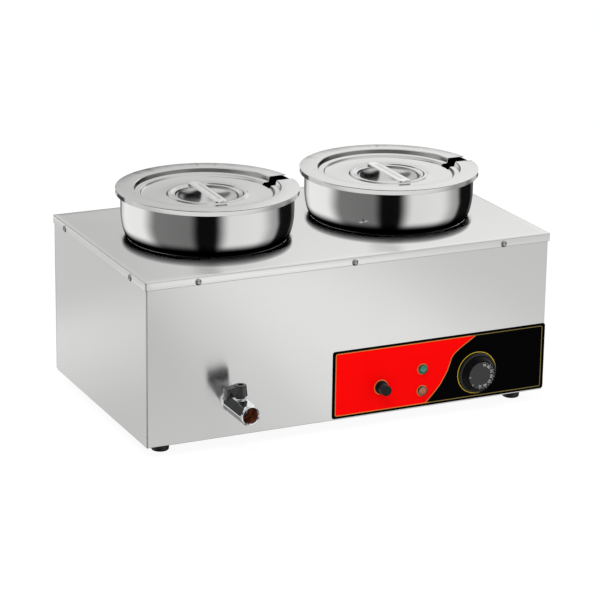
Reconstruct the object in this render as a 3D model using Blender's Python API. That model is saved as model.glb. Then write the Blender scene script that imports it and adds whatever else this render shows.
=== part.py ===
"""Counter-top bain marie: a wet well under a folded cover, two pots with notched lids and a drain tap.

Units are metres, +Z is up, the front looks along -Y and the feet stand on Z = 0.
"""

import math

import bmesh
import bpy
from mathutils import Euler, Vector

# Sheet metal and fits
SHEET = 0.001
SEAT = 0.0003
OVERRUN = 0.002
BEND_RADIUS = 0.0016
CORNER_RADIUS = 0.0024
MERGE_DISTANCE = 0.000001

# Cover and housing
COVER_WIDTH = 0.565
COVER_DEPTH = 0.326
COVER_OVERHANG = 0.0017
SKIRT_DROP = 0.011
BODY_HEIGHT = 0.213
RETURN_WIDTH = 0.014
PLATE_FLANGE_RISE = 0.012

# Feet and their screws
FOOT_HEIGHT = 0.017
FOOT_INSET = 0.030
FOOT_TOP_RADIUS = 0.0125
FOOT_BOTTOM_RADIUS = 0.0110
FOOT_EDGE = 0.001
COUNTERBORE_RADIUS = 0.0062
COUNTERBORE_DEPTH = 0.0065
FOOT_SCREW_HEAD_RADIUS = 0.0046
FOOT_SCREW_HEAD_HEIGHT = 0.0030
FOOT_SCREW_SHANK_RADIUS = 0.0023
FOOT_SCREW_OVERHANG = 0.004

# Cover screws
SCREW_HEAD_RADIUS = 0.0044
SCREW_HEAD_HEIGHT = 0.0026
SCREW_CROWN_RADIUS = 0.0022
SCREW_SHANK_RADIUS = 0.00175
SCREW_REACH = 0.0055
SCREW_DROP = 0.0068
FRONT_SCREW_INSET = 0.0695
SIDE_SCREW_INSET = 0.048

# Water tank
TANK_END_SPACE = 0.0358
CONTROL_SPACE = 0.0527
TANK_BACK_SPACE = 0.0479
TANK_CORNER = 0.018
TANK_BEND = 0.004
TANK_FLANGE = 0.010
TANK_FLOOR_RISE = 0.034

# Pots
POT_SPACING = 0.260
POT_SETBACK = 0.0024
POT_SHEET = 0.0008
POT_WALL_RADIUS = 0.1115
POT_NECK_RADIUS = 0.0975
POT_RISE = 0.062
POT_BASE_CLEARANCE = 0.048
RIM_RADIUS = 0.1175
RIM_DROP = 0.0055
RIM_ROUND = 0.0015
SHOULDER_RISE = 0.034
SHOULDER_INSET = 0.0125
SHOULDER_ANGLE_SHARES = (0.72, 0.48, 0.24, 0.0)
SHOULDER_HEIGHT = 0.0364
NECK_FILLET = 0.0015
POT_BASE_ROUND = 0.008

# Openings in the cover
LIP_ROUND = 0.001
LIP_DROP = 0.008

# Lids and their strap handles
LID_SHEET = 0.0008
LID_RADIUS = 0.118
LID_RECESS_RADIUS = 0.0945
LID_LEDGE_RADIUS = 0.0915
LID_LEDGE_DROP = 0.0064
LID_STEP_RADIUS = 0.0862
LID_FLOOR_RADIUS = 0.0845
LID_FLOOR_DROP = 0.0100
LID_EDGE = 0.0012
BEAD_OUTER_RADIUS = 0.0525
BEAD_INNER_RADIUS = 0.0455
BEAD_RISE = 0.0018
DISH_RADIUS = 0.0420
DISH_DROP = 0.028
DISH_RADIUS_SHARES = (0.30, 0.62, 0.86, 1.0)
NOTCH_WIDTH = 0.021
NOTCH_ROOT_RADIUS = 0.0835
STRAP_LENGTH = 0.101
STRAP_WIDTH = 0.0165
STRAP_THICKNESS = 0.0016
STRAP_GROOVE_LENGTH = 0.074
STRAP_GROOVE_WIDTH = 0.0065
STRAP_GROOVE_DEPTH = 0.0007
LEFT_LID_TURN = math.radians(2.5)
RIGHT_LID_TURN = 0.0
LEFT_STRAP_TURN = math.radians(-2.0)
RIGHT_STRAP_TURN = math.radians(-1.1)

# Control panel
PANEL_WIDTH = 0.3088
PANEL_HEIGHT = 0.0905
PANEL_CORNER = 0.0035
PANEL_SHEET = 0.0008

# Thermostat and knob
KNOB_INSET = 0.1003
KNOB_RISE = 0.0353
KNOB_GAP = 0.0010
KNOB_FLANGE_RADIUS = 0.0264
KNOB_FLANGE_THICKNESS = 0.0020
KNOB_BASE_RADIUS = 0.0235
KNOB_FACE_RADIUS = 0.0197
KNOB_HEIGHT = 0.0140
KNOB_EDGE = 0.0007
KNOB_BORE_END = 0.0115
SHAFT_RADIUS = 0.0030
SHAFT_FLAT = 0.0010
SHAFT_START = 0.0090
BUSH_RADIUS = 0.0050
THERMOSTAT_WIDTH = 0.034
THERMOSTAT_HEIGHT = 0.040
THERMOSTAT_DEPTH_SHARE = 0.42
THERMOSTAT_EDGE = 0.0015
CAPILLARY_RADIUS = 0.0012
CAPILLARY_BEND = 0.008
BULB_RADIUS = 0.0030
BULB_LENGTH = 0.085
BULB_RISE = 0.029
BULB_WALL_DISTANCE = 0.015
BULB_GLAND_OFFSET = 0.0305
BULB_GLAND_RADIUS = 0.0070
BULB_GLAND_SLEEVE = 0.0040
BULB_GLAND_HEAD = 0.0040

# Fuse
FUSE_INSET = 0.2395
FUSE_RISE = 0.0345
FUSE_FLANGE_RADIUS = 0.0087
FUSE_FLANGE_THICKNESS = 0.0040
FUSE_NOSE_RADIUS = 0.0072
FUSE_NOSE_HEIGHT = 0.0075
FUSE_BARREL_RADIUS = 0.0063
FUSE_BARREL_WALL = 0.0012
FUSE_NUT_FLATS = 0.016
FUSE_NUT_THICKNESS = 0.003
CARRIER_RADIUS = 0.0046
CARRIER_LENGTH = 0.0050
FUSE_CAP_BASE_RADIUS = 0.0068
FUSE_CAP_FACE_RADIUS = 0.0064
FUSE_CAP_END = 0.0165
FUSE_CAP_EDGE = 0.0006
SLOT_WIDTH = 0.0014
SLOT_DEPTH = 0.0018
CARTRIDGE_RADIUS = 0.0025
CARTRIDGE_GLASS_RADIUS = 0.0022
CARTRIDGE_CAP_LENGTH = 0.0050
CARTRIDGE_LENGTH = 0.020

# Lamps
LAMP_INSET = 0.1802
GREEN_LAMP_RISE = 0.0508
AMBER_LAMP_RISE = 0.0214
LAMP_BEZEL_RADIUS = 0.0064
LAMP_BEZEL_HEIGHT = 0.0026
LAMP_RECESS_RADIUS = 0.0058
LAMP_BEZEL_FLOOR = 0.0010
LAMP_BARREL_RADIUS = 0.0050
LAMP_BARREL_LENGTH = 0.022
LENS_CROWN_RADIUS = 0.0024
LENS_CROWN_HEIGHT = 0.0038
LENS_SHOULDER_HEIGHT = 0.0027

# Drain tap, measured outwards from the front wall along its own axis
TAP_INSET = 0.1128
TAP_RISE = 0.046
DRAIN_BORE_RADIUS = 0.0065
DRAIN_HOLE_RADIUS = 0.0080
SOCKET_RADIUS = 0.0135
SOCKET_BORE_RADIUS = 0.0103
NIPPLE_RADIUS = 0.0100
NIPPLE_REACH = 0.014
WASHER_RADIUS = 0.0145
WASHER_THICKNESS = 0.0012
COLLAR_RADIUS = 0.0132
COLLAR_THICKNESS = 0.0040
COLLAR_EDGE = 0.0008
END_THREAD_LENGTH = 0.0140
VALVE_CHAMBER_RADIUS = 0.0106
HEX_FLATS = 0.0242
HEX_LENGTH = 0.0549
HEX_CHAMFER = 0.0030
MOUTH_RADIUS = 0.0125
MOUTH_LIP = 0.0020
MOUTH_BORE_RADIUS = 0.0100
MOUTH_BORE_DEPTH = 0.0170
BALL_RADIUS = 0.0090
BALL_BORE_RADIUS = 0.0062
SEAT_RING_SPAN = 0.0095
SEAT_RING_REST = 0.0041
SEAT_RING_BORE_REST = 0.0070
SEAT_RING_LIP_RADIUS = 0.0085
STEM_RADIUS = 0.0040
STEM_SQUARE = 0.0046
STEM_SLOT_WIDTH = 0.0030
STEM_SLOT_DEPTH = 0.0024
STEM_TANG_WIDTH = 0.0022
NECK_RADIUS = 0.0068
NECK_TOP = 0.0150
LEVER_HUB_RADIUS = 0.0078
LEVER_HUB_TAPER = 0.0012
LEVER_BASE = 0.0155
LEVER_TOP = 0.0300
LEVER_REACH = 0.0260
LEVER_WIDTH = 0.0110
LEVER_TIP_WIDTH = 0.0090
LEVER_WEB_DROP = 0.0080
LEVER_TIP_LENGTH = 0.0075
LEVER_ARCH_LENGTH = 0.0080
LEVER_EDGE = 0.0006
LEVER_BORE_RADIUS = 0.0036
LEVER_BORE_DEPTH = 0.0035
LEVER_SCREW_RADIUS = 0.0032
LEVER_SCREW_HEIGHT = 0.0022

# Heating element in the tank
ELEMENT_RADIUS = 0.0040
ELEMENT_RISE = 0.013
ELEMENT_BEND = 0.020
ELEMENT_TAIL = 0.012
ELEMENT_END_SPACE = 0.039
ELEMENT_SIDE_SPACE = 0.053
ELEMENT_TAIL_SPACING = 0.131
ELEMENT_BUSH_RADIUS = 0.0068
ELEMENT_BUSH_FLANGE = 0.0100
ELEMENT_BUSH_FLANGE_THICKNESS = 0.0025
ELEMENT_BUSH_REACH = 0.0090
STAND_INSET = 0.135
STAND_WIDTH = 0.012
STAND_OVERHANG = 0.010
STAND_FOOT = 0.010

# Cable gland and terminal block at the back
GLAND_INSET = 0.0808
GLAND_RISE = 0.040
GLAND_THREAD_RADIUS = 0.0080
GLAND_BORE_RADIUS = 0.0042
GLAND_FLANGE_RADIUS = 0.0120
GLAND_FLANGE_THICKNESS = 0.0050
GLAND_DOME_RADIUS = 0.0104
GLAND_MOUTH_RADIUS = 0.0066
GLAND_LENGTH = 0.0220
GLAND_REACH = 0.0080
BLOCK_WALL_DISTANCE = 0.024
BLOCK_LENGTH = 0.042
BLOCK_WIDTH = 0.018
BLOCK_HEIGHT = 0.016
BLOCK_SLOT = 0.0016
BLOCK_POLES = 4

# Facets round the turned pieces
FULL_TURN = 2 * math.pi
QUARTER_TURN = math.pi / 2
POT_FACETS = 32
KNOB_FACETS = 24
MIDDLE_FACETS = 16
SMALL_FACETS = 10
SMOOTH_ANGLE = math.radians(35)

# Heights and places that follow from the sizes above
COVER_TOP = FOOT_HEIGHT + BODY_HEIGHT
COVER_UNDERSIDE = COVER_TOP - SHEET
BODY_WIDTH = COVER_WIDTH - 2 * COVER_OVERHANG
BODY_DEPTH = COVER_DEPTH - 2 * COVER_OVERHANG
BODY_RIGHT = BODY_WIDTH / 2
FRONT_WALL = -BODY_DEPTH / 2
BACK_WALL = BODY_DEPTH / 2
PANEL_FACE = FRONT_WALL - SEAT - PANEL_SHEET
RETURN_FACE = BACK_WALL - SHEET - SEAT
TANK_FLOOR = FOOT_HEIGHT + TANK_FLOOR_RISE
TANK_WIDTH = BODY_WIDTH - 2 * TANK_END_SPACE
TANK_FRONT = FRONT_WALL + CONTROL_SPACE
TANK_BACK = BACK_WALL - TANK_BACK_SPACE
POT_DROP = BODY_HEIGHT - TANK_FLOOR_RISE - POT_BASE_CLEARANCE
PANEL_LEFT = BODY_RIGHT - PANEL_WIDTH
KNOB_X = BODY_RIGHT - KNOB_INSET
LAMP_X = BODY_RIGHT - LAMP_INSET
FUSE_X = BODY_RIGHT - FUSE_INSET
TAP_X = TAP_INSET - BODY_RIGHT
GLAND_X = BODY_RIGHT - GLAND_INSET
ELEMENT_RIGHT = TANK_WIDTH / 2 - ELEMENT_END_SPACE
THERMOSTAT_DEPTH = CONTROL_SPACE * THERMOSTAT_DEPTH_SHARE
LID_UNDERSIDE_RISE = POT_RISE + SEAT
LID_TOP = COVER_TOP + LID_UNDERSIDE_RISE + LID_SHEET
WASHER_FRONT = SEAT + WASHER_THICKNESS
COLLAR_BACK = WASHER_FRONT + SEAT
COLLAR_FRONT = COLLAR_BACK + COLLAR_THICKNESS
HEX_BACK = COLLAR_FRONT + SEAT
BALL_CENTRE = COLLAR_FRONT + END_THREAD_LENGTH + SEAT + SEAT_RING_SPAN
HEX_END = HEX_BACK + HEX_LENGTH
TAP_LENGTH = HEX_END + MOUTH_LIP
BALL_Y = FRONT_WALL - BALL_CENTRE
TAP_Z = FOOT_HEIGHT + TAP_RISE
ELEMENT_Z = TANK_FLOOR + SHEET + ELEMENT_RISE
FRONT_REACH = TAP_LENGTH - FRONT_WALL
BACK_REACH = BACK_WALL + SEAT + GLAND_LENGTH
OUTWARD_FRONT = (QUARTER_TURN, 0.0, 0.0)
OUTWARD_BACK = (-QUARTER_TURN, 0.0, 0.0)
OUTWARD_LEFT = (0.0, -QUARTER_TURN, 0.0)
OUTWARD_RIGHT = (0.0, QUARTER_TURN, 0.0)


# Materials

def srgb(code):
    """The linear colour of a hex code."""
    parts = [int(code[i:i + 2], 16) / 255 for i in (0, 2, 4)]
    return tuple(((p + 0.055) / 1.055) ** 2.4 if p > 0.04045 else p / 12.92 for p in parts) + (1.0,)


def make_look(name, code, metallic, roughness):
    look = bpy.data.materials.new(name)
    look.use_nodes = True
    shader = look.node_tree.nodes["Principled BSDF"]
    shader.inputs["Base Color"].default_value = srgb(code)
    shader.inputs["Metallic"].default_value = metallic
    shader.inputs["Roughness"].default_value = roughness
    look.diffuse_color = srgb(code)
    return look


FINISHES = {
    "brushed steel": ("C9CACB", 1.0, 0.38),
    "polished steel": ("D4D5D6", 1.0, 0.12),
    "dull steel": ("A9ABAD", 1.0, 0.50),
    "chrome": ("DADCDD", 1.0, 0.07),
    "brass": ("B58A4A", 1.0, 0.30),
    "red and black film": ("E00A0A", 0.0, 0.30),
    "black phenolic": ("262626", 0.0, 0.45),
    "black nylon": ("151515", 0.0, 0.40),
    "black rubber": ("1A1A1A", 0.0, 0.80),
    "green lens": ("1F8F72", 0.0, 0.15),
    "amber lens": ("B97446", 0.0, 0.15),
    "glass": ("DDE5E6", 0.0, 0.05),
    "white ceramic": ("E8E4DA", 0.0, 0.50),
    "white plastic": ("F0EFEA", 0.0, 0.35),
}


# Outlines

def offset_path(path, distance):
    """The path moved to its left by the distance, with mitred corners."""
    points = [Vector(point) for point in path]
    sides = []
    for start, end in zip(points, points[1:]):
        along = (end - start).normalized()
        sides.append(Vector((-along.y, along.x)))
    moved = []
    for index, point in enumerate(points):
        before = sides[max(index - 1, 0)]
        after = sides[min(index, len(sides) - 1)]
        middle = (before + after).normalized()
        moved.append(tuple(point + middle * (distance / middle.dot(before))))
    return moved


def sheet_outline(path, thickness):
    """Both sides of a sheet that follows the path, as one outline."""
    return list(path) + offset_path(path, thickness)[::-1]


def arc(centre, radius, start, end, steps):
    """Points on a circle from one angle to another, both included."""
    angles = [start + (end - start) * step / steps for step in range(steps + 1)]
    return [(centre[0] + radius * math.cos(a), centre[1] + radius * math.sin(a)) for a in angles]


def rounded_rectangle(width, depth, radius, steps):
    """A rectangle about the origin with arcs at its corners, counter-clockwise."""
    across, along = width / 2 - radius, depth / 2 - radius
    centres = ((across, along), (-across, along), (-across, -along), (across, -along))
    points = []
    for quarter, centre in enumerate(centres):
        start = quarter * QUARTER_TURN
        points += arc(centre, radius, start, start + QUARTER_TURN, steps)
    return points


def hexagon(flats):
    """A hexagon with corners on the X axis."""
    return arc((0.0, 0.0), flats / math.sqrt(3), 0.0, FULL_TURN, 6)[:-1]


def rounded_route(corners, radius, steps):
    """A run through the corners, each turned with the same bend radius."""
    points = [Vector(corners[0])]
    for before, corner, after in zip(corners, corners[1:], corners[2:]):
        corner = Vector(corner)
        back = (Vector(before) - corner).normalized()
        on = (Vector(after) - corner).normalized()
        half = back.angle(on) / 2
        centre = corner + (back + on).normalized() * (radius / math.sin(half))
        start = (corner + back * (radius / math.tan(half)) - centre).normalized()
        end = (corner + on * (radius / math.tan(half)) - centre).normalized()
        points += [centre + start.slerp(end, step / steps) * radius for step in range(steps + 1)]
    points.append(Vector(corners[-1]))
    return points


# Meshes

def turned(outline, facets, closed=False):
    """A profile of (radius, height) points spun about Z. An open one gets flat ends."""
    mesh = bmesh.new()
    verts = [mesh.verts.new((radius, 0.0, height)) for radius, height in outline]
    pairs = list(zip(verts, verts[1:]))
    if closed:
        pairs.append((verts[-1], verts[0]))
    edges = [mesh.edges.new(pair) for pair in pairs]
    bmesh.ops.spin(
        mesh, geom=verts + edges, axis=(0.0, 0.0, 1.0), cent=(0.0, 0.0, 0.0), angle=FULL_TURN, steps=facets
    )
    bmesh.ops.remove_doubles(mesh, verts=mesh.verts, dist=MERGE_DISTANCE)
    bmesh.ops.holes_fill(mesh, edges=mesh.edges)
    bmesh.ops.recalc_face_normals(mesh, faces=mesh.faces)
    return mesh


def tray(profile, width, depth, corner, steps):
    """A profile of (overhang, height) points carried round a rounded rectangle, with flat ends."""
    mesh = bmesh.new()
    rings = []
    for overhang, height in profile:
        plan = rounded_rectangle(width + 2 * overhang, depth + 2 * overhang, corner + overhang, steps)
        rings.append([mesh.verts.new((x, y, height)) for x, y in plan])
    for low, high in zip(rings, rings[1:]):
        for index in range(len(low)):
            mesh.faces.new((low[index - 1], low[index], high[index], high[index - 1]))
    mesh.faces.new(rings[0])
    mesh.faces.new(rings[-1])
    bmesh.ops.recalc_face_normals(mesh, faces=mesh.faces)
    return mesh


def prism(outline, start, end):
    """A flat outline drawn in XY and extruded along Z."""
    mesh = bmesh.new()
    face = mesh.faces.new([mesh.verts.new((x, y, start)) for x, y in outline])
    grown = bmesh.ops.extrude_face_region(mesh, geom=[face])["geom"]
    risen = [item for item in grown if isinstance(item, bmesh.types.BMVert)]
    bmesh.ops.translate(mesh, verts=risen, vec=(0.0, 0.0, end - start))
    bmesh.ops.recalc_face_normals(mesh, faces=mesh.faces)
    return mesh


def block(low, high):
    """A box between two corners."""
    mesh = bmesh.new()
    bmesh.ops.create_cube(mesh, size=1.0)
    size = [top - bottom for bottom, top in zip(low, high)]
    middle = [(top + bottom) / 2 for bottom, top in zip(low, high)]
    bmesh.ops.scale(mesh, verts=mesh.verts, vec=size)
    bmesh.ops.translate(mesh, verts=mesh.verts, vec=middle)
    return mesh


def soften(mesh, width):
    """A one-step bevel on every edge."""
    bmesh.ops.bevel(mesh, geom=list(mesh.edges), offset=width, segments=1, affect="EDGES")
    return mesh


def place(mesh, at, turn):
    """The mesh turned and moved to its place, for a cutter that is built in the part's own frame."""
    bmesh.ops.rotate(mesh, verts=mesh.verts, cent=(0.0, 0.0, 0.0), matrix=Euler(turn).to_matrix())
    bmesh.ops.translate(mesh, verts=mesh.verts, vec=at)
    return mesh


def gather(meshes):
    """Several meshes as one, for cutters that work together."""
    whole = bmesh.new()
    for mesh in meshes:
        scratch = bpy.data.meshes.new("scratch")
        mesh.to_mesh(scratch)
        mesh.free()
        whole.from_mesh(scratch)
        bpy.data.meshes.remove(scratch)
    return whole


def drills(places, turn, radius, length, facets=SMALL_FACETS):
    """Round cutters that run the length to both sides of their places."""
    outline = [(radius, length), (radius, -length)]
    return gather([place(turned(outline, facets), at, turn) for at in places])


# Objects

class Bench:
    """The scene's empty that carries the part, and its materials."""

    def __init__(self):
        for old in list(bpy.data.objects):
            bpy.data.objects.remove(old)
        self.centre = bpy.data.objects.new("stand_centre", None)
        self.centre.location = (0.0, (FRONT_REACH - BACK_REACH) / 2, 0.0)
        bpy.context.scene.collection.objects.link(self.centre)
        self.looks = {}

    def look(self, name, finish):
        """Each sub-part has a material of its own, from a shared finish."""
        return make_look(f"{name} {finish}", *FINISHES[finish])

    def add(self, name, data, finish, at=(0.0, 0.0, 0.0), turn=(0.0, 0.0, 0.0)):
        if isinstance(data, bmesh.types.BMesh):
            mesh = bpy.data.meshes.new(name)
            data.to_mesh(mesh)
            data.free()
            data = mesh
        item = bpy.data.objects.new(name, data)
        item.location = at
        item.rotation_euler = turn
        item.parent = self.centre
        bpy.context.scene.collection.objects.link(item)
        if not item.material_slots:
            data.materials.append(None)
        item.material_slots[0].link = "OBJECT"
        item.material_slots[0].material = self.look(name, finish)
        if isinstance(data, bpy.types.Mesh):
            data.shade_smooth()
            data.set_sharp_from_angle(angle=SMOOTH_ANGLE)
        return item

    def ring(self, name, outline, finish, at, turn=(0.0, 0.0, 0.0), facets=MIDDLE_FACETS):
        """A round sub-part with a bore along its axis."""
        return self.add(name, turned(outline, facets, closed=True), finish, at, turn)

    def disc(self, name, outline, finish, at, turn=(0.0, 0.0, 0.0), facets=MIDDLE_FACETS):
        """A round sub-part without a bore."""
        return self.add(name, turned(outline, facets), finish, at, turn)

    def cutter(self, name, mesh, at=(0.0, 0.0, 0.0), turn=(0.0, 0.0, 0.0)):
        data = bpy.data.meshes.new(name)
        mesh.to_mesh(data)
        mesh.free()
        item = bpy.data.objects.new(name, data)
        item.location = at
        item.rotation_euler = turn
        item.parent = self.centre
        item.hide_render = True
        item.display_type = "WIRE"
        bpy.context.scene.collection.objects.link(item)
        return item


def carve(target, cutter, operation="DIFFERENCE"):
    change = target.modifiers.new(cutter.name, "BOOLEAN")
    change.operation = operation
    change.solver = "EXACT"
    change.object = cutter


# Housing

def cover_screw_places():
    """(name, place, turn) of every cover screw, on the skirt's outer face."""
    height = COVER_TOP - SCREW_DROP
    front, side = -COVER_DEPTH / 2, COVER_WIDTH / 2
    rows = []
    along = side - FRONT_SCREW_INSET
    for label, x in (("left", -along), ("middle", 0.0), ("right", along)):
        rows.append((f"cover_screw_front_{label}", (x, front, height), OUTWARD_FRONT))
        rows.append((f"cover_screw_back_{label}", (x, -front, height), OUTWARD_BACK))
    for label, y in (("front", front + SIDE_SCREW_INSET), ("rear", -front - SIDE_SCREW_INSET)):
        rows.append((f"cover_screw_left_{label}", (-side, y, height), OUTWARD_LEFT))
        rows.append((f"cover_screw_right_{label}", (side, y, height), OUTWARD_RIGHT))
    return rows


def cover_screw_holes():
    radius = SCREW_SHANK_RADIUS + SEAT
    holes = [place(turned([(radius, SCREW_REACH), (radius, -SCREW_REACH)], SMALL_FACETS), at, turn)
             for _, at, turn in cover_screw_places()]
    return gather(holes)


def make_cover_screws(bench):
    outline = [
        (SCREW_CROWN_RADIUS, SCREW_HEAD_HEIGHT + SEAT),
        (SCREW_HEAD_RADIUS - SEAT, SCREW_HEAD_HEIGHT / 2 + SEAT),
        (SCREW_HEAD_RADIUS, SEAT),
        (SCREW_SHANK_RADIUS, SEAT),
        (SCREW_SHANK_RADIUS, -SCREW_REACH),
    ]
    for name, at, turn in cover_screw_places():
        bench.add(name, turned(outline, SMALL_FACETS), "dull steel", at, turn)


def shoulder_point(angle):
    """(radius, height above the cover) on the pot's elliptical shoulder, from its wall inwards."""
    inner = POT_WALL_RADIUS - SHOULDER_INSET
    radius = inner + SHOULDER_INSET * math.cos(angle)
    return radius, SHOULDER_RISE - SHOULDER_HEIGHT * math.sin(angle)


def opening_radius():
    """Radius of the opening whose rounded lip meets the pot's shoulder with the seat's gap."""
    reach = LIP_ROUND + SEAT
    low, high = 0.0, QUARTER_TURN
    for _ in range(40):
        angle = (low + high) / 2
        out = Vector((math.cos(angle) / SHOULDER_INSET, math.sin(angle) / SHOULDER_HEIGHT)).normalized()
        radius, height = shoulder_point(angle)
        if height - out.y * reach > -LIP_ROUND:
            low = angle
        else:
            high = angle
    return radius + out.x * reach - LIP_ROUND


def pot_places():
    return (("left", -POT_SPACING / 2), ("right", POT_SPACING / 2))


def make_top_cover(bench, screw_holes):
    bend = arc((-BEND_RADIUS, -BEND_RADIUS), BEND_RADIUS, QUARTER_TURN, 0.0, 2)
    profile = sheet_outline(bend + [(0.0, -SKIRT_DROP)], -SHEET)
    mesh = tray(profile, COVER_WIDTH, COVER_DEPTH, CORNER_RADIUS, 2)
    cover = bench.add("top_cover", mesh, "brushed steel", (0.0, 0.0, COVER_TOP))
    opening = opening_radius()
    tube = [(opening - LIP_ROUND, -SHEET / 2), (opening + SHEET, -SHEET / 2),
            (opening + SHEET, -LIP_DROP), (opening - LIP_ROUND, -LIP_DROP)]
    lip = arc((opening + LIP_ROUND, -LIP_ROUND), LIP_ROUND, QUARTER_TURN, 2 * QUARTER_TURN, 2)
    hole = [(opening + LIP_ROUND, OVERRUN)] + lip + [(opening, -LIP_DROP - OVERRUN)]
    for side, x in pot_places():
        at = (x, POT_SETBACK, COVER_TOP)
        carve(cover, bench.cutter(f"lip_tube_{side}", turned(tube, POT_FACETS, closed=True), at), "UNION")
        carve(cover, bench.cutter(f"opening_{side}", turned(hole, POT_FACETS), at))
    carve(cover, screw_holes)


def make_body_wrap(bench, screw_holes, front_holes):
    across = BODY_WIDTH / 2 - BEND_RADIUS
    front, back = FRONT_WALL + BEND_RADIUS, RETURN_FACE - BEND_RADIUS
    path = [(RETURN_WIDTH - BODY_WIDTH / 2, RETURN_FACE)]
    path += arc((-across, back), BEND_RADIUS, QUARTER_TURN, 2 * QUARTER_TURN, 2)
    path += arc((-across, front), BEND_RADIUS, 2 * QUARTER_TURN, 3 * QUARTER_TURN, 2)
    path += arc((across, front), BEND_RADIUS, 3 * QUARTER_TURN, 4 * QUARTER_TURN, 2)
    path += arc((across, back), BEND_RADIUS, 0.0, QUARTER_TURN, 2)
    path += [(BODY_WIDTH / 2 - RETURN_WIDTH, RETURN_FACE)]
    mesh = prism(sheet_outline(path, SHEET), FOOT_HEIGHT, COVER_UNDERSIDE - SEAT)
    wrap = bench.add("body_wrap", mesh, "brushed steel")
    carve(wrap, screw_holes)
    carve(wrap, front_holes)


def make_back_panel(bench, screw_holes):
    low = (-BODY_WIDTH / 2, BACK_WALL - SHEET, FOOT_HEIGHT)
    high = (BODY_WIDTH / 2, BACK_WALL, COVER_UNDERSIDE - SEAT)
    panel = bench.add("back_panel", block(low, high), "brushed steel")
    carve(panel, screw_holes)
    bore = GLAND_THREAD_RADIUS + SEAT
    hole = turned([(bore, OVERRUN), (bore, -OVERRUN)], MIDDLE_FACETS)
    carve(panel, bench.cutter("gland_hole", hole, gland_place(), OUTWARD_BACK))


def foot_places():
    across, along = BODY_WIDTH / 2 - FOOT_INSET, BODY_DEPTH / 2 - FOOT_INSET
    rows = (("front_left", -1, -1), ("front_right", 1, -1), ("back_left", -1, 1), ("back_right", 1, 1))
    return [(name, (x * across, y * along, 0.0)) for name, x, y in rows]


def make_bottom_plate(bench):
    front = FRONT_WALL + SHEET + SEAT
    back = RETURN_FACE - SHEET - SEAT
    bend = arc((-BEND_RADIUS, BEND_RADIUS), BEND_RADIUS, -QUARTER_TURN, 0.0, 2)
    profile = sheet_outline(bend + [(0.0, PLATE_FLANGE_RISE)], SHEET)
    width = BODY_WIDTH - 2 * (SHEET + SEAT)
    mesh = tray(profile, width, back - front, CORNER_RADIUS, 2)
    plate = bench.add("bottom_plate", mesh, "dull steel", (0.0, (front + back) / 2, FOOT_HEIGHT))
    places = [(x, y, FOOT_HEIGHT) for _, (x, y, _) in foot_places()]
    holes = drills(places, (0.0, 0.0, 0.0), FOOT_SCREW_SHANK_RADIUS + SEAT, OVERRUN)
    carve(plate, bench.cutter("foot_screw_holes", holes))


def make_feet(bench):
    top = FOOT_HEIGHT - SEAT
    bore = FOOT_SCREW_SHANK_RADIUS + SEAT
    foot = [
        (bore, top), (FOOT_TOP_RADIUS, top), (FOOT_BOTTOM_RADIUS, FOOT_EDGE),
        (FOOT_BOTTOM_RADIUS - FOOT_EDGE, 0.0), (COUNTERBORE_RADIUS, 0.0),
        (COUNTERBORE_RADIUS, COUNTERBORE_DEPTH), (bore, COUNTERBORE_DEPTH),
    ]
    head = COUNTERBORE_DEPTH - SEAT
    shank = FOOT_SCREW_SHANK_RADIUS
    screw = [
        (shank, FOOT_HEIGHT + SHEET + FOOT_SCREW_OVERHANG), (shank, head), (FOOT_SCREW_HEAD_RADIUS, head),
        (FOOT_SCREW_HEAD_RADIUS, head - FOOT_SCREW_HEAD_HEIGHT / 2), (shank, head - FOOT_SCREW_HEAD_HEIGHT),
    ]
    for name, at in foot_places():
        bench.ring(f"foot_{name}", foot, "black rubber", at)
        bench.add(f"foot_screw_{name}", turned(screw, SMALL_FACETS), "dull steel", at)


# Wet well

def make_water_tank(bench):
    rise = COVER_UNDERSIDE - SEAT - SHEET - TANK_FLOOR
    bend = arc((-TANK_BEND, TANK_BEND), TANK_BEND, -QUARTER_TURN, 0.0, 2)
    profile = sheet_outline(bend + [(0.0, rise), (TANK_FLANGE, rise)], SHEET)
    mesh = tray(profile, TANK_WIDTH, TANK_BACK - TANK_FRONT, TANK_CORNER, 3)
    tank = bench.add("water_tank", mesh, "dull steel", (0.0, (TANK_FRONT + TANK_BACK) / 2, TANK_FLOOR))
    drain = drills([(TAP_X, TANK_FRONT, TAP_Z)], OUTWARD_FRONT, DRAIN_HOLE_RADIUS, TANK_BEND, MIDDLE_FACETS)
    bush_bore = ELEMENT_BUSH_RADIUS + SEAT
    bushes = drills(element_bush_places(), OUTWARD_FRONT, bush_bore, TANK_BEND, MIDDLE_FACETS)
    gland = drills([bulb_gland_place()], OUTWARD_FRONT, BULB_GLAND_SLEEVE + SEAT, TANK_BEND)
    carve(tank, bench.cutter("tank_holes", gather([drain, bushes, gland])))


def element_bush_places():
    return [(x, TANK_FRONT, ELEMENT_Z) for x in (ELEMENT_RIGHT - ELEMENT_TAIL_SPACING, ELEMENT_RIGHT)]


def tube_object(bench, name, route, radius, shares, finish):
    """A round bar along the route. The shares give each point's part of the radius."""
    curve = bpy.data.curves.new(name, "CURVE")
    curve.dimensions = "3D"
    curve.bevel_depth = radius
    curve.bevel_resolution = 2
    curve.use_fill_caps = True
    spline = curve.splines.new("POLY")
    spline.points.add(len(route) - 1)
    for point, place_, share in zip(spline.points, route, shares):
        point.co = (*place_, 1.0)
        point.radius = share
    return bench.add(name, curve, finish)


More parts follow.
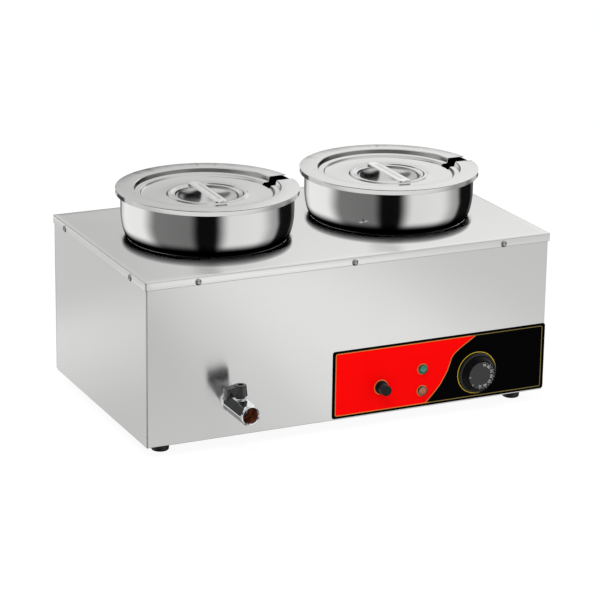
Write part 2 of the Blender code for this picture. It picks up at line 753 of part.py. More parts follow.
def make_heating_element(bench):
    start = TANK_FRONT - ELEMENT_TAIL
    front, back = TANK_FRONT + ELEMENT_SIDE_SPACE, TANK_BACK - ELEMENT_SIDE_SPACE
    side, inner = ELEMENT_RIGHT, ELEMENT_RIGHT - ELEMENT_TAIL_SPACING
    corners = [
        (side, start, ELEMENT_Z), (side, back, ELEMENT_Z), (-side, back, ELEMENT_Z),
        (-side, front, ELEMENT_Z), (inner, front, ELEMENT_Z), (inner, start, ELEMENT_Z),
    ]
    route = rounded_route(corners, ELEMENT_BEND, 5)
    tube_object(bench, "heating_element", route, ELEMENT_RADIUS, [1.0] * len(route), "dull steel")


def make_element_bushes(bench):
    bore = ELEMENT_RADIUS + SEAT
    inside = -SHEET - SEAT
    bush = [
        (bore, ELEMENT_BUSH_REACH), (ELEMENT_BUSH_RADIUS, ELEMENT_BUSH_REACH),
        (ELEMENT_BUSH_RADIUS, inside), (ELEMENT_BUSH_FLANGE, inside),
        (ELEMENT_BUSH_FLANGE, inside - ELEMENT_BUSH_FLANGE_THICKNESS),
        (bore, inside - ELEMENT_BUSH_FLANGE_THICKNESS),
    ]
    for label, at in zip(("inner", "right"), element_bush_places()):
        bench.ring(f"element_bush_{label}", bush, "brass", at, OUTWARD_FRONT)


def make_element_stand(bench):
    floor = TANK_FLOOR + SHEET + SEAT
    top = ELEMENT_Z - ELEMENT_RADIUS - SEAT - floor
    front = TANK_FRONT + ELEMENT_SIDE_SPACE - STAND_OVERHANG
    back = TANK_BACK - ELEMENT_SIDE_SPACE + STAND_OVERHANG
    path = [
        (front - STAND_FOOT, SHEET), (front, SHEET), (front, top), (back, top), (back, SHEET),
        (back + STAND_FOOT, SHEET),
    ]
    mesh = prism(sheet_outline(path, -SHEET), -STAND_WIDTH / 2, STAND_WIDTH / 2)
    upright = (QUARTER_TURN, 0.0, QUARTER_TURN)
    bench.add("element_stand", mesh, "dull steel", (STAND_INSET - TANK_WIDTH / 2, 0.0, floor), upright)


# Drain tap

def tap_place():
    return (TAP_X, FRONT_WALL, TAP_Z)


def make_drain_socket(bench):
    back = -(TANK_FRONT - FRONT_WALL) + SEAT
    front = -SHEET - SEAT
    bore, side = SOCKET_BORE_RADIUS, SOCKET_RADIUS
    outline = [(bore, front), (side, front), (side, back), (bore, back)]
    bench.ring("drain_socket", outline, "dull steel", tap_place(), OUTWARD_FRONT)


def make_tap_washer(bench):
    bore = NIPPLE_RADIUS + SEAT
    outline = [(bore, WASHER_FRONT), (WASHER_RADIUS, WASHER_FRONT), (WASHER_RADIUS, SEAT), (bore, SEAT)]
    bench.ring("tap_washer", outline, "white plastic", tap_place(), OUTWARD_FRONT)


def make_valve_end(bench):
    thread = VALVE_CHAMBER_RADIUS - SEAT
    end = COLLAR_FRONT + END_THREAD_LENGTH
    outline = [
        (DRAIN_BORE_RADIUS, end), (thread, end), (thread, COLLAR_FRONT),
        (COLLAR_RADIUS - COLLAR_EDGE, COLLAR_FRONT), (COLLAR_RADIUS, COLLAR_FRONT - COLLAR_EDGE),
        (COLLAR_RADIUS, COLLAR_BACK + COLLAR_EDGE), (COLLAR_RADIUS - COLLAR_EDGE, COLLAR_BACK),
        (NIPPLE_RADIUS, COLLAR_BACK), (NIPPLE_RADIUS, -NIPPLE_REACH), (DRAIN_BORE_RADIUS, -NIPPLE_REACH),
    ]
    bench.ring("valve_end", outline, "chrome", tap_place(), OUTWARD_FRONT)


def make_valve_body(bench):
    """The hexagonal body: chamfered by a turned envelope, bored in steps, with a neck for the stem."""
    bar = prism(hexagon(HEX_FLATS), HEX_BACK, HEX_END)
    body = bench.add("valve_body", bar, "chrome", tap_place(), OUTWARD_FRONT)
    corner = HEX_FLATS / math.sqrt(3)
    envelope = [
        (MOUTH_RADIUS, HEX_END + OVERRUN), (corner + OVERRUN, HEX_END - HEX_CHAMFER),
        (corner + OVERRUN, HEX_BACK + HEX_CHAMFER), (MOUTH_RADIUS, HEX_BACK - OVERRUN),
    ]
    envelope = turned(envelope, MIDDLE_FACETS)
    carve(body, bench.cutter("valve_envelope", envelope, tap_place(), OUTWARD_FRONT), "INTERSECT")
    lip = turned([(MOUTH_RADIUS, TAP_LENGTH), (MOUTH_RADIUS, HEX_END - MOUTH_LIP)], MIDDLE_FACETS)
    carve(body, bench.cutter("valve_lip", lip, tap_place(), OUTWARD_FRONT), "UNION")
    neck = turned([(NECK_RADIUS, NECK_TOP), (NECK_RADIUS, VALVE_CHAMBER_RADIUS)], MIDDLE_FACETS)
    carve(body, bench.cutter("valve_neck", neck, (TAP_X, BALL_Y, TAP_Z)), "UNION")
    shoulder = BALL_CENTRE + SEAT_RING_SPAN + SEAT
    bores = [
        (MOUTH_BORE_RADIUS, TAP_LENGTH + OVERRUN), (MOUTH_BORE_RADIUS, TAP_LENGTH - MOUTH_BORE_DEPTH),
        (DRAIN_BORE_RADIUS, TAP_LENGTH - MOUTH_BORE_DEPTH), (DRAIN_BORE_RADIUS, shoulder),
        (VALVE_CHAMBER_RADIUS, shoulder), (VALVE_CHAMBER_RADIUS, HEX_BACK - OVERRUN),
    ]
    carve(body, bench.cutter("valve_bores", turned(bores, MIDDLE_FACETS), tap_place(), OUTWARD_FRONT))
    stem_hole = turned([(STEM_RADIUS + SEAT, NECK_TOP + OVERRUN), (STEM_RADIUS + SEAT, 0.0)], MIDDLE_FACETS)
    carve(body, bench.cutter("stem_hole", stem_hole, (TAP_X, BALL_Y, TAP_Z)))


def make_valve_seats(bench):
    """Two rings that bear on the ball, one on each side."""
    outer = VALVE_CHAMBER_RADIUS - SEAT
    outline = [
        (DRAIN_BORE_RADIUS, SEAT_RING_SPAN), (outer, SEAT_RING_SPAN), (outer, SEAT_RING_REST),
        (SEAT_RING_LIP_RADIUS, SEAT_RING_REST), (DRAIN_BORE_RADIUS, SEAT_RING_BORE_REST),
    ]
    at = (TAP_X, BALL_Y, TAP_Z)
    for name, turn in (("valve_seat_front", OUTWARD_FRONT), ("valve_seat_back", OUTWARD_BACK)):
        bench.ring(name, outline, "white plastic", at, turn)


def make_valve_ball(bench):
    mesh = bmesh.new()
    bmesh.ops.create_uvsphere(mesh, u_segments=MIDDLE_FACETS, v_segments=SMALL_FACETS, radius=BALL_RADIUS)
    at = (TAP_X, BALL_Y, TAP_Z)
    ball = bench.add("valve_ball", mesh, "chrome", at)
    bore = drills([at], OUTWARD_RIGHT, BALL_BORE_RADIUS, BALL_RADIUS + OVERRUN)
    carve(ball, bench.cutter("ball_bore", bore))
    low = (-BALL_RADIUS, -STEM_SLOT_WIDTH / 2, BALL_RADIUS - STEM_SLOT_DEPTH)
    high = (BALL_RADIUS, STEM_SLOT_WIDTH / 2, BALL_RADIUS + OVERRUN)
    carve(ball, bench.cutter("ball_slot", block(low, high), at))


def make_valve_stem(bench):
    """A round stem with a flat tang in the ball's slot and a square for the lever."""
    low, high = BALL_RADIUS + SEAT, LEVER_BASE
    top = LEVER_TOP - LEVER_BORE_DEPTH - SEAT
    at = (TAP_X, BALL_Y, TAP_Z)
    stem = bench.disc("valve_stem", [(STEM_RADIUS, high), (STEM_RADIUS, low)], "chrome", at)
    half = STEM_TANG_WIDTH / 2
    tang_end = BALL_RADIUS - STEM_SLOT_DEPTH + SEAT
    tang_reach = STEM_RADIUS * math.cos(QUARTER_TURN / 3)
    tang = block((-tang_reach, -half, tang_end), (tang_reach, half, low + SHEET))
    carve(stem, bench.cutter("stem_tang", tang, at), "UNION")
    side = STEM_SQUARE / 2
    square = block((-side, -side, high - SHEET), (side, side, top))
    carve(stem, bench.cutter("stem_square", square, at), "UNION")


def make_valve_lever(bench):
    """A hub with one wing: a web between them leaves an arch, and the wing ends in a deep grip."""
    depth = LEVER_TOP - LEVER_BASE
    arch_end = LEVER_TIP_LENGTH - LEVER_REACH
    hub_edge = -LEVER_HUB_RADIUS
    side = [
        (0.0, depth), (-LEVER_REACH, depth - LEVER_EDGE), (-LEVER_REACH, SEAT), (arch_end, SEAT),
        (arch_end + LEVER_ARCH_LENGTH / 2, depth - LEVER_WEB_DROP), (hub_edge, SEAT * 2), (0.0, SEAT * 2),
    ]
    wing = place(prism(side, -LEVER_WIDTH / 2, LEVER_WIDTH / 2), (0.0, 0.0, 0.0), (QUARTER_TURN, 0.0, 0.0))
    for vert in wing.verts:
        reach = min(-vert.co.x / LEVER_REACH, 1.0)
        vert.co.y *= 1.0 - reach * (1.0 - LEVER_TIP_WIDTH / LEVER_WIDTH)
    at = (TAP_X, BALL_Y, TAP_Z + LEVER_BASE)
    lever = bench.add("valve_lever", wing, "black nylon", at)
    base = LEVER_HUB_RADIUS + LEVER_HUB_TAPER
    hub = [(LEVER_HUB_RADIUS - LEVER_EDGE, depth + SEAT), (LEVER_HUB_RADIUS, depth - LEVER_EDGE),
           (base, SEAT)]
    carve(lever, bench.cutter("lever_hub", turned(hub, MIDDLE_FACETS), at), "UNION")
    half = STEM_SQUARE / 2 + SEAT
    square = block((-half, -half, -OVERRUN), (half, half, depth))
    carve(lever, bench.cutter("lever_square", square, at))
    bore = [(LEVER_BORE_RADIUS, depth + OVERRUN), (LEVER_BORE_RADIUS, depth - LEVER_BORE_DEPTH)]
    carve(lever, bench.cutter("lever_bore", turned(bore, MIDDLE_FACETS), at))
    floor = LEVER_TOP - LEVER_BORE_DEPTH + SEAT
    head = floor + LEVER_SCREW_HEIGHT
    screw = [(LEVER_SCREW_RADIUS - LEVER_EDGE, head), (LEVER_SCREW_RADIUS, head - LEVER_EDGE),
             (LEVER_SCREW_RADIUS, floor)]
    bench.disc("lever_screw", screw, "black nylon", (TAP_X, BALL_Y, TAP_Z))


# Controls

def on_panel(x, rise):
    """A place on the panel's face."""
    return (x, PANEL_FACE, FOOT_HEIGHT + rise)


def front_hole_cutters(bench):
    """The holes that the front wall and the panel share, and the tap's hole in the wall."""
    barrels = [
        (on_panel(KNOB_X, KNOB_RISE), BUSH_RADIUS), (on_panel(FUSE_X, FUSE_RISE), FUSE_BARREL_RADIUS),
        (on_panel(LAMP_X, GREEN_LAMP_RISE), LAMP_BARREL_RADIUS),
        (on_panel(LAMP_X, AMBER_LAMP_RISE), LAMP_BARREL_RADIUS), (tap_place(), NIPPLE_RADIUS),
    ]
    depth = OVERRUN + SHEET
    holes = [drills([at], OUTWARD_FRONT, bore + SEAT, depth, MIDDLE_FACETS) for at, bore in barrels]
    return bench.cutter("front_holes", gather(holes))


def make_control_panel(bench, front_holes):
    outline = rounded_rectangle(PANEL_WIDTH, PANEL_HEIGHT, PANEL_CORNER, 3)
    at = (PANEL_LEFT + PANEL_WIDTH / 2, FRONT_WALL - SEAT, FOOT_HEIGHT + PANEL_HEIGHT / 2)
    film = prism(outline, 0.0, PANEL_SHEET)
    panel = bench.add("control_panel", film, "red and black film", at, OUTWARD_FRONT)
    carve(panel, front_holes)


def make_knob(bench):
    flange_top = KNOB_GAP + KNOB_FLANGE_THICKNESS
    bore = SHAFT_RADIUS + SEAT
    outline = [
        (bore, KNOB_BORE_END), (bore, KNOB_GAP), (KNOB_FLANGE_RADIUS, KNOB_GAP),
        (KNOB_FLANGE_RADIUS, flange_top - KNOB_EDGE), (KNOB_FLANGE_RADIUS - KNOB_EDGE, flange_top),
        (KNOB_BASE_RADIUS, flange_top), (KNOB_FACE_RADIUS, KNOB_HEIGHT - KNOB_EDGE),
        (KNOB_FACE_RADIUS - KNOB_EDGE, KNOB_HEIGHT),
    ]
    at = on_panel(KNOB_X, KNOB_RISE)
    bench.disc("thermostat_knob", outline, "black phenolic", at, OUTWARD_FRONT, KNOB_FACETS)


def make_thermostat(bench):
    """A box behind the front wall whose threaded bush comes out through the wall and the panel."""
    at = on_panel(KNOB_X, KNOB_RISE)
    wall_inside = FRONT_WALL + SHEET + SEAT
    half_width, half_height = THERMOSTAT_WIDTH / 2, THERMOSTAT_HEIGHT / 2
    low = (-half_width, -half_height, PANEL_FACE - wall_inside - THERMOSTAT_DEPTH)
    high = (half_width, half_height, PANEL_FACE - wall_inside)
    case = soften(block(low, high), THERMOSTAT_EDGE)
    body = bench.add("thermostat_body", case, "dull steel", at, OUTWARD_FRONT)
    bush = turned([(BUSH_RADIUS, SEAT), (BUSH_RADIUS, high[2] - OVERRUN)], MIDDLE_FACETS)
    carve(body, bench.cutter("thermostat_bush", bush, at, OUTWARD_FRONT), "UNION")
    bore = SHAFT_RADIUS + SEAT
    shaft_hole = turned([(bore, OVERRUN), (bore, -SHAFT_START - SEAT)], MIDDLE_FACETS)
    carve(body, bench.cutter("shaft_hole", shaft_hole, at, OUTWARD_FRONT))


def make_shaft(bench):
    """A round shaft with one flat along it."""
    reach = math.acos(1.0 - SHAFT_FLAT / SHAFT_RADIUS)
    outline = arc((0.0, 0.0), SHAFT_RADIUS, QUARTER_TURN + reach, FULL_TURN + QUARTER_TURN - reach, 18)
    shaft = prism(outline, -SHAFT_START, KNOB_BORE_END - SEAT)
    bench.add("thermostat_shaft", shaft, "chrome", on_panel(KNOB_X, KNOB_RISE), OUTWARD_FRONT)


def bulb_gland_place():
    return (KNOB_X - BULB_GLAND_OFFSET, TANK_FRONT, TANK_FLOOR + BULB_RISE)


def make_bulb(bench):
    """The capillary leaves the thermostat's back, enters the tank and ends in the sensing bulb."""
    start_y = FRONT_WALL + SHEET + SEAT + THERMOSTAT_DEPTH + SEAT
    middle_y = (start_y + TANK_FRONT) / 2
    start_z = FOOT_HEIGHT + KNOB_RISE
    x, wall, z = bulb_gland_place()
    inside = wall + BULB_WALL_DISTANCE
    corners = [
        (KNOB_X, start_y, start_z), (KNOB_X, middle_y, start_z), (x, middle_y, z), (x, inside, z),
        (x - 2 * CAPILLARY_BEND, inside, z),
    ]
    route = rounded_route(corners, CAPILLARY_BEND, 4)
    thin = CAPILLARY_RADIUS / BULB_RADIUS
    shares = [thin] * len(route) + [1.0, 1.0]
    tip = route[-1]
    route.append(Vector((tip.x - BULB_RADIUS, tip.y, tip.z)))
    route.append(Vector((tip.x - BULB_LENGTH, tip.y, tip.z)))
    tube_object(bench, "thermostat_bulb", route, BULB_RADIUS, shares, "chrome")


def make_bulb_gland(bench):
    bore = CAPILLARY_RADIUS + SEAT
    head, end = BULB_GLAND_HEAD + SEAT, -SHEET - BULB_GLAND_HEAD
    outline = [
        (bore, head), (BULB_GLAND_RADIUS, head), (BULB_GLAND_RADIUS, SEAT),
        (BULB_GLAND_SLEEVE, SEAT), (BULB_GLAND_SLEEVE, end), (bore, end),
    ]
    bench.ring("bulb_gland", outline, "brass", bulb_gland_place(), OUTWARD_FRONT, SMALL_FACETS)


def make_fuse(bench):
    """The holder clamps the wall with its nut. The cap's carrier holds the glass fuse in the holder."""
    at = on_panel(FUSE_X, FUSE_RISE)
    carrier_end = FUSE_NOSE_HEIGHT + SEAT - CARRIER_LENGTH - FUSE_NOSE_HEIGHT
    socket_end = carrier_end + CARTRIDGE_CAP_LENGTH
    fuse_front = socket_end - SEAT
    fuse_back = fuse_front - CARTRIDGE_LENGTH
    bore = CARRIER_RADIUS + SEAT
    barrel_end = fuse_back - SEAT - FUSE_BARREL_WALL
    flange = FUSE_FLANGE_RADIUS
    holder = [
        (bore, fuse_back - SEAT), (bore, FUSE_NOSE_HEIGHT), (FUSE_NOSE_RADIUS, FUSE_NOSE_HEIGHT),
        (FUSE_NOSE_RADIUS, FUSE_FLANGE_THICKNESS), (flange, FUSE_FLANGE_THICKNESS - FUSE_CAP_EDGE),
        (flange, SEAT), (FUSE_BARREL_RADIUS, SEAT), (FUSE_BARREL_RADIUS, barrel_end),
    ]
    bench.disc("fuse_holder", holder, "black phenolic", at, OUTWARD_FRONT)
    wall_inside = PANEL_FACE - FRONT_WALL - SHEET - SEAT
    nut = prism(hexagon(FUSE_NUT_FLATS), wall_inside - FUSE_NUT_THICKNESS, wall_inside)
    nut = bench.add("fuse_nut", nut, "black nylon", at, OUTWARD_FRONT)
    hole = drills([at], OUTWARD_FRONT, FUSE_BARREL_RADIUS + SEAT, FUSE_NOSE_HEIGHT, MIDDLE_FACETS)
    carve(nut, bench.cutter("fuse_nut_hole", hole))
    socket = CARTRIDGE_RADIUS + SEAT
    cap_base = FUSE_NOSE_HEIGHT + SEAT
    cap = [
        (socket, socket_end), (socket, carrier_end), (CARRIER_RADIUS, carrier_end),
        (CARRIER_RADIUS, cap_base), (FUSE_CAP_BASE_RADIUS, cap_base),
        (FUSE_CAP_FACE_RADIUS, FUSE_CAP_END - FUSE_CAP_EDGE),
        (FUSE_CAP_FACE_RADIUS - FUSE_CAP_EDGE, FUSE_CAP_END),
    ]
    cap = bench.disc("fuse_cap", cap, "black phenolic", at, OUTWARD_FRONT)
    half, reach = SLOT_WIDTH / 2, FUSE_CAP_BASE_RADIUS + OVERRUN
    slot = block((-half, -reach, FUSE_CAP_END - SLOT_DEPTH), (half, reach, FUSE_CAP_END + OVERRUN))
    carve(cap, bench.cutter("fuse_slot", slot, at, OUTWARD_FRONT))
    first, last = fuse_front - CARTRIDGE_CAP_LENGTH, fuse_back + CARTRIDGE_CAP_LENGTH
    cartridge = [
        (CARTRIDGE_RADIUS, fuse_front), (CARTRIDGE_RADIUS, first), (CARTRIDGE_GLASS_RADIUS, first),
        (CARTRIDGE_GLASS_RADIUS, last), (CARTRIDGE_RADIUS, last), (CARTRIDGE_RADIUS, fuse_back),
    ]
    bench.add("fuse_cartridge", turned(cartridge, SMALL_FACETS), "glass", at, OUTWARD_FRONT)


def make_lamps(bench):
    body = [
        (LAMP_RECESS_RADIUS, LAMP_BEZEL_FLOOR), (LAMP_RECESS_RADIUS, LAMP_BEZEL_HEIGHT),
        (LAMP_BEZEL_RADIUS, LAMP_BEZEL_HEIGHT), (LAMP_BEZEL_RADIUS, SEAT), (LAMP_BARREL_RADIUS, SEAT),
        (LAMP_BARREL_RADIUS, -LAMP_BARREL_LENGTH),
    ]
    rim = LAMP_RECESS_RADIUS - SEAT
    lens = [
        (LENS_CROWN_RADIUS, LENS_CROWN_HEIGHT), ((LENS_CROWN_RADIUS + rim) / 2, LENS_CROWN_HEIGHT - SEAT),
        (rim, LENS_SHOULDER_HEIGHT), (rim, LAMP_BEZEL_FLOOR + SEAT),
    ]
    for colour, rise in (("green", GREEN_LAMP_RISE), ("amber", AMBER_LAMP_RISE)):
        at = on_panel(LAMP_X, rise)
        bench.add(f"{colour}_lamp_body", turned(body, MIDDLE_FACETS), "black nylon", at, OUTWARD_FRONT)
        bench.add(f"{colour}_lamp_lens", turned(lens, MIDDLE_FACETS), f"{colour} lens", at, OUTWARD_FRONT)


# Electrical entry

def gland_place():
    return (GLAND_X, BACK_WALL, FOOT_HEIGHT + GLAND_RISE)


def make_cable_gland(bench):
    flange_top = SEAT + GLAND_FLANGE_THICKNESS
    length = SEAT + GLAND_LENGTH
    dome_step = (GLAND_DOME_RADIUS - GLAND_MOUTH_RADIUS) / 2
    outline = [
        (GLAND_BORE_RADIUS, length), (GLAND_MOUTH_RADIUS, length),
        (GLAND_MOUTH_RADIUS + dome_step, length - dome_step),
        (GLAND_DOME_RADIUS, (length + flange_top) / 2), (GLAND_DOME_RADIUS, flange_top),
        (GLAND_FLANGE_RADIUS, flange_top), (GLAND_FLANGE_RADIUS, SEAT), (GLAND_THREAD_RADIUS, SEAT),
        (GLAND_THREAD_RADIUS, -GLAND_REACH), (GLAND_BORE_RADIUS, -GLAND_REACH),
    ]
    bench.ring("cable_gland", outline, "black nylon", gland_place(), OUTWARD_BACK)


def make_terminal_block(bench):
    """A strip of poles with slots between them, on the bottom plate behind the tank."""
    floor = FOOT_HEIGHT + SHEET + SEAT
    at = (GLAND_X, BACK_WALL - BLOCK_WALL_DISTANCE, floor)
    half, side = BLOCK_LENGTH / 2, BLOCK_WIDTH / 2
    bar = block((-half, -side, 0.0), (half, side, BLOCK_HEIGHT))
    strip = bench.add("terminal_block", bar, "white ceramic", at)
    pitch = BLOCK_LENGTH / BLOCK_POLES
    slots = []
    for pole in range(1, BLOCK_POLES):
        x = pole * pitch - half
        low = (x - BLOCK_SLOT / 2, -side - OVERRUN, BLOCK_HEIGHT / 2)
        slots.append(block(low, (x + BLOCK_SLOT / 2, side + OVERRUN, BLOCK_HEIGHT + OVERRUN)))
    carve(strip, bench.cutter("terminal_slots", gather(slots), at))


# Pots and lids

def pot_path():
    """The pot's outer side from its base up to the turned-down rim, heights from the cover's top."""
    base, neck = -POT_DROP, POT_NECK_RADIUS
    rim_inner = POT_WALL_RADIUS + RIM_ROUND
    top, edge = POT_RISE - POT_SHEET, RIM_RADIUS - POT_SHEET
    path = arc((neck - POT_BASE_ROUND, base + POT_BASE_ROUND), POT_BASE_ROUND, -QUARTER_TURN, 0.0, 2)
    ledge = SHOULDER_RISE - SHOULDER_HEIGHT
    path += [(neck, ledge - NECK_FILLET), (POT_WALL_RADIUS - SHOULDER_INSET, ledge)]
    path += [shoulder_point(QUARTER_TURN * share) for share in SHOULDER_ANGLE_SHARES]
    path += [(POT_WALL_RADIUS, top - RIM_ROUND), (rim_inner, top)]
    path += [(edge - RIM_ROUND, top), (edge, top - RIM_ROUND), (edge, POT_RISE - RIM_DROP)]
    return path


def lid_path():
    """The lid's top side from its dish out to its edge, heights from its flange."""
    floor, crest = -LID_FLOOR_DROP, BEAD_RISE - LID_FLOOR_DROP
    dish_depth = DISH_DROP - LID_FLOOR_DROP
    path = []
    for share in DISH_RADIUS_SHARES:
        drop = dish_depth * math.sqrt(1.0 - share ** 2)
        path.append((DISH_RADIUS * share, floor - drop))
    path[0] = (path[0][0], -DISH_DROP)
    bead = (BEAD_OUTER_RADIUS + BEAD_INNER_RADIUS) / 2
    path += [(BEAD_INNER_RADIUS, crest), (bead, crest), (BEAD_OUTER_RADIUS, floor)]
    path += [(LID_FLOOR_RADIUS, floor), (LID_STEP_RADIUS, -LID_LEDGE_DROP)]
    path += [(LID_LEDGE_RADIUS, -LID_LEDGE_DROP), (LID_RECESS_RADIUS - LID_EDGE, -LID_EDGE)]
    path += [(LID_RECESS_RADIUS, 0.0), (LID_RADIUS, 0.0)]
    return path


def make_pots(bench):
    for side, x in pot_places():
        outline = sheet_outline(pot_path(), POT_SHEET)
        bench.add(f"pot_{side}", turned(outline, POT_FACETS), "polished steel", (x, POT_SETBACK, COVER_TOP))


def make_lids(bench):
    turns = {"left": LEFT_LID_TURN, "right": RIGHT_LID_TURN}
    half = NOTCH_WIDTH / 2
    for side, x in pot_places():
        at, turn = (x, POT_SETBACK, LID_TOP), (0.0, 0.0, turns[side])
        outline = sheet_outline(lid_path(), -LID_SHEET)
        lid = bench.add(f"lid_{side}", turned(outline, POT_FACETS), "polished steel", at, turn)
        notch = block((NOTCH_ROOT_RADIUS, -half, -DISH_DROP), (LID_RADIUS + OVERRUN, half, OVERRUN))
        carve(lid, bench.cutter(f"notch_{side}", notch, at, turn))


def make_lid_handles(bench):
    """A flat strap across the dish, with a long shallow groove along its top."""
    turns = {"left": LEFT_STRAP_TURN, "right": RIGHT_STRAP_TURN}
    base = LID_TOP + BEAD_RISE - LID_FLOOR_DROP + SEAT
    for side, x in pot_places():
        at, turn = (x, POT_SETBACK, base), (0.0, 0.0, turns[side])
        strap = prism(rounded_rectangle(STRAP_WIDTH, STRAP_LENGTH, SHEET, 2), 0.0, STRAP_THICKNESS)
        strap = bench.add(f"lid_handle_{side}", strap, "polished steel", at, turn)
        round_end = STRAP_GROOVE_WIDTH / 2 - SEAT
        groove = rounded_rectangle(STRAP_GROOVE_WIDTH, STRAP_GROOVE_LENGTH, round_end, 4)
        groove = prism(groove, STRAP_THICKNESS - STRAP_GROOVE_DEPTH, STRAP_THICKNESS + OVERRUN)
        carve(strap, bench.cutter(f"strap_groove_{side}", groove, at, turn))


def main():
    bench = Bench()
    screw_holes = bench.cutter("cover_screw_holes", cover_screw_holes())
    front_holes = front_hole_cutters(bench)
    make_top_cover(bench, screw_holes)
    make_body_wrap(bench, screw_holes, front_holes)
    make_back_panel(bench, screw_holes)
    make_bottom_plate(bench)
    make_feet(bench)
    make_cover_screws(bench)
    make_water_tank(bench)
    make_heating_element(bench)
    make_element_bushes(bench)
    make_element_stand(bench)
    make_drain_socket(bench)
    make_tap_washer(bench)
    make_valve_end(bench)
    make_valve_body(bench)
    make_valve_seats(bench)
    make_valve_ball(bench)
    make_valve_stem(bench)
    make_valve_lever(bench)
    make_control_panel(bench, front_holes)
    make_knob(bench)
    make_thermostat(bench)
    make_shaft(bench)
    make_bulb(bench)
    make_bulb_gland(bench)
    make_fuse(bench)
    make_lamps(bench)
    make_cable_gland(bench)
    make_terminal_block(bench)
    make_pots(bench)
    make_lids(bench)
    make_lid_handles(bench)


main()
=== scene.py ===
"""Dresses a counter-top bain marie: satin steel housing, two polished pots, printed controls and a drain tap.

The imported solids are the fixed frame. Each operator adds one piece, or a group of like pieces, around them.
"""

import math

import bmesh
import bpy
import numpy as np
from bpy.props import FloatProperty, FloatVectorProperty, IntProperty, PointerProperty
from mathutils import Matrix, Vector


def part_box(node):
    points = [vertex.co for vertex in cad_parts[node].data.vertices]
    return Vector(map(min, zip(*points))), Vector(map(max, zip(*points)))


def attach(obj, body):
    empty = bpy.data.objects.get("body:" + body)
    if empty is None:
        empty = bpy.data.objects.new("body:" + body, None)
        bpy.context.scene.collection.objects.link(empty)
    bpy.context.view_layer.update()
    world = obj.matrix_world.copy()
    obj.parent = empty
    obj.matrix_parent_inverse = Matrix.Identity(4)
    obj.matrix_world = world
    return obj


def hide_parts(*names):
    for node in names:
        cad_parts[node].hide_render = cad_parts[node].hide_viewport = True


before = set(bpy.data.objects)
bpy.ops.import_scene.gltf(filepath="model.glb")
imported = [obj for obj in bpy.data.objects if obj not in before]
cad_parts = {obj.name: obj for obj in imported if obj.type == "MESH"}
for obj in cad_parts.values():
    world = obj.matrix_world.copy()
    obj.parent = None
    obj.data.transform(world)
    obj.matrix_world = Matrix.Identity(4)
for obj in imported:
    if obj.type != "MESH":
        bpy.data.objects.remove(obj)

bl_info = {
    "name": "Bain Marie Dressing",
    "version": (1, 0, 0),
    "blender": (4, 5, 0),
    "location": "3D View > Sidebar > Bain Marie",
    "description": "Detailed pieces, finishes and a plain studio for a counter-top bain marie",
    "category": "Add Mesh",
}

MM = 0.001
HALF_TURN = math.pi
FULL_TURN = 2 * math.pi
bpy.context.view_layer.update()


# Places read from the frame

def middle(node):
    low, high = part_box(node)
    return (low + high) / 2


COVER_LOW, COVER_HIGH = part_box("top_cover")
FRONT_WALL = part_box("body_wrap")[0].y
PANEL_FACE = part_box("control_panel")[0].y
BODY_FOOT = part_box("control_panel")[0].z
LID_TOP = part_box("lid_left")[1].z
# other shiny surfaces mirror these pieces, and otherwise only the studio's soft bands
MIRRORED = ("hexagonal_tap_body", "tap_collar", "tap_neck", "lever_wing", "lever_hub", "strap_handle_left",
            "strap_handle_right")


# Colours and nodes

def linear(code):
    """A hex colour as linear red, green, blue and alpha: the standard curve undone channel by channel. A
    colour from a setting is linear already."""
    if not isinstance(code, str):
        return tuple(code)
    parts = np.array([int(code[i:i + 2], 16) for i in (1, 3, 5)]) / 255
    parts = np.where(parts > 0.04045, ((parts + 0.055) / 1.055) ** 2.4, parts / 12.92)
    return (*parts.tolist(), 1.0)


def shade(value):
    return (value, value, value, 1.0)


def link(tree, source, socket):
    node, output = source
    tree.links.new(node.outputs[output], socket)


def add_node(tree, kind, sockets=None, **settings):
    """Adds a node with its settings. A socket is given a value, or (node, output) to link from."""
    item = tree.nodes.new(kind)
    for name, value in settings.items():
        setattr(item, name, value)
    for name, value in (sockets or {}).items():
        if isinstance(value, tuple) and isinstance(value[0], bpy.types.Node):
            link(tree, value, item.inputs[name])
        else:
            item.inputs[name].default_value = value
    return item


def number_math(tree, operation, *values):
    return add_node(tree, "ShaderNodeMath", dict(enumerate(values)), operation=operation), "Value"


def vector_math(tree, operation, *values):
    return add_node(tree, "ShaderNodeVectorMath", dict(enumerate(values)), operation=operation)


def colour_mix(tree, share, first, second):
    """Two colours mixed: a share of 0 is the first one."""
    return add_node(tree, "ShaderNodeMix", {"Factor": share, 6: first, 7: second}, data_type="RGBA"), 2


def mapped(tree, source, low, high, **settings):
    """A value from low to high as a share from 0 to 1."""
    sockets = {"Value": source, "From Min": low, "From Max": high}
    return add_node(tree, "ShaderNodeMapRange", sockets, **settings), "Result"


def ramp_node(tree, source, stops):
    """A ramp of greys whose stops are (place, grey)."""
    item = add_node(tree, "ShaderNodeValToRGB", {"Fac": source})
    item.color_ramp.interpolation = "EASE"
    while len(item.color_ramp.elements) < len(stops):
        item.color_ramp.elements.new(0.5)
    for element, (place, grey) in zip(item.color_ramp.elements, stops):
        element.position = place
    for element, (place, grey) in zip(item.color_ramp.elements, stops):
        element.color = shade(grey)
    return item, "Color"


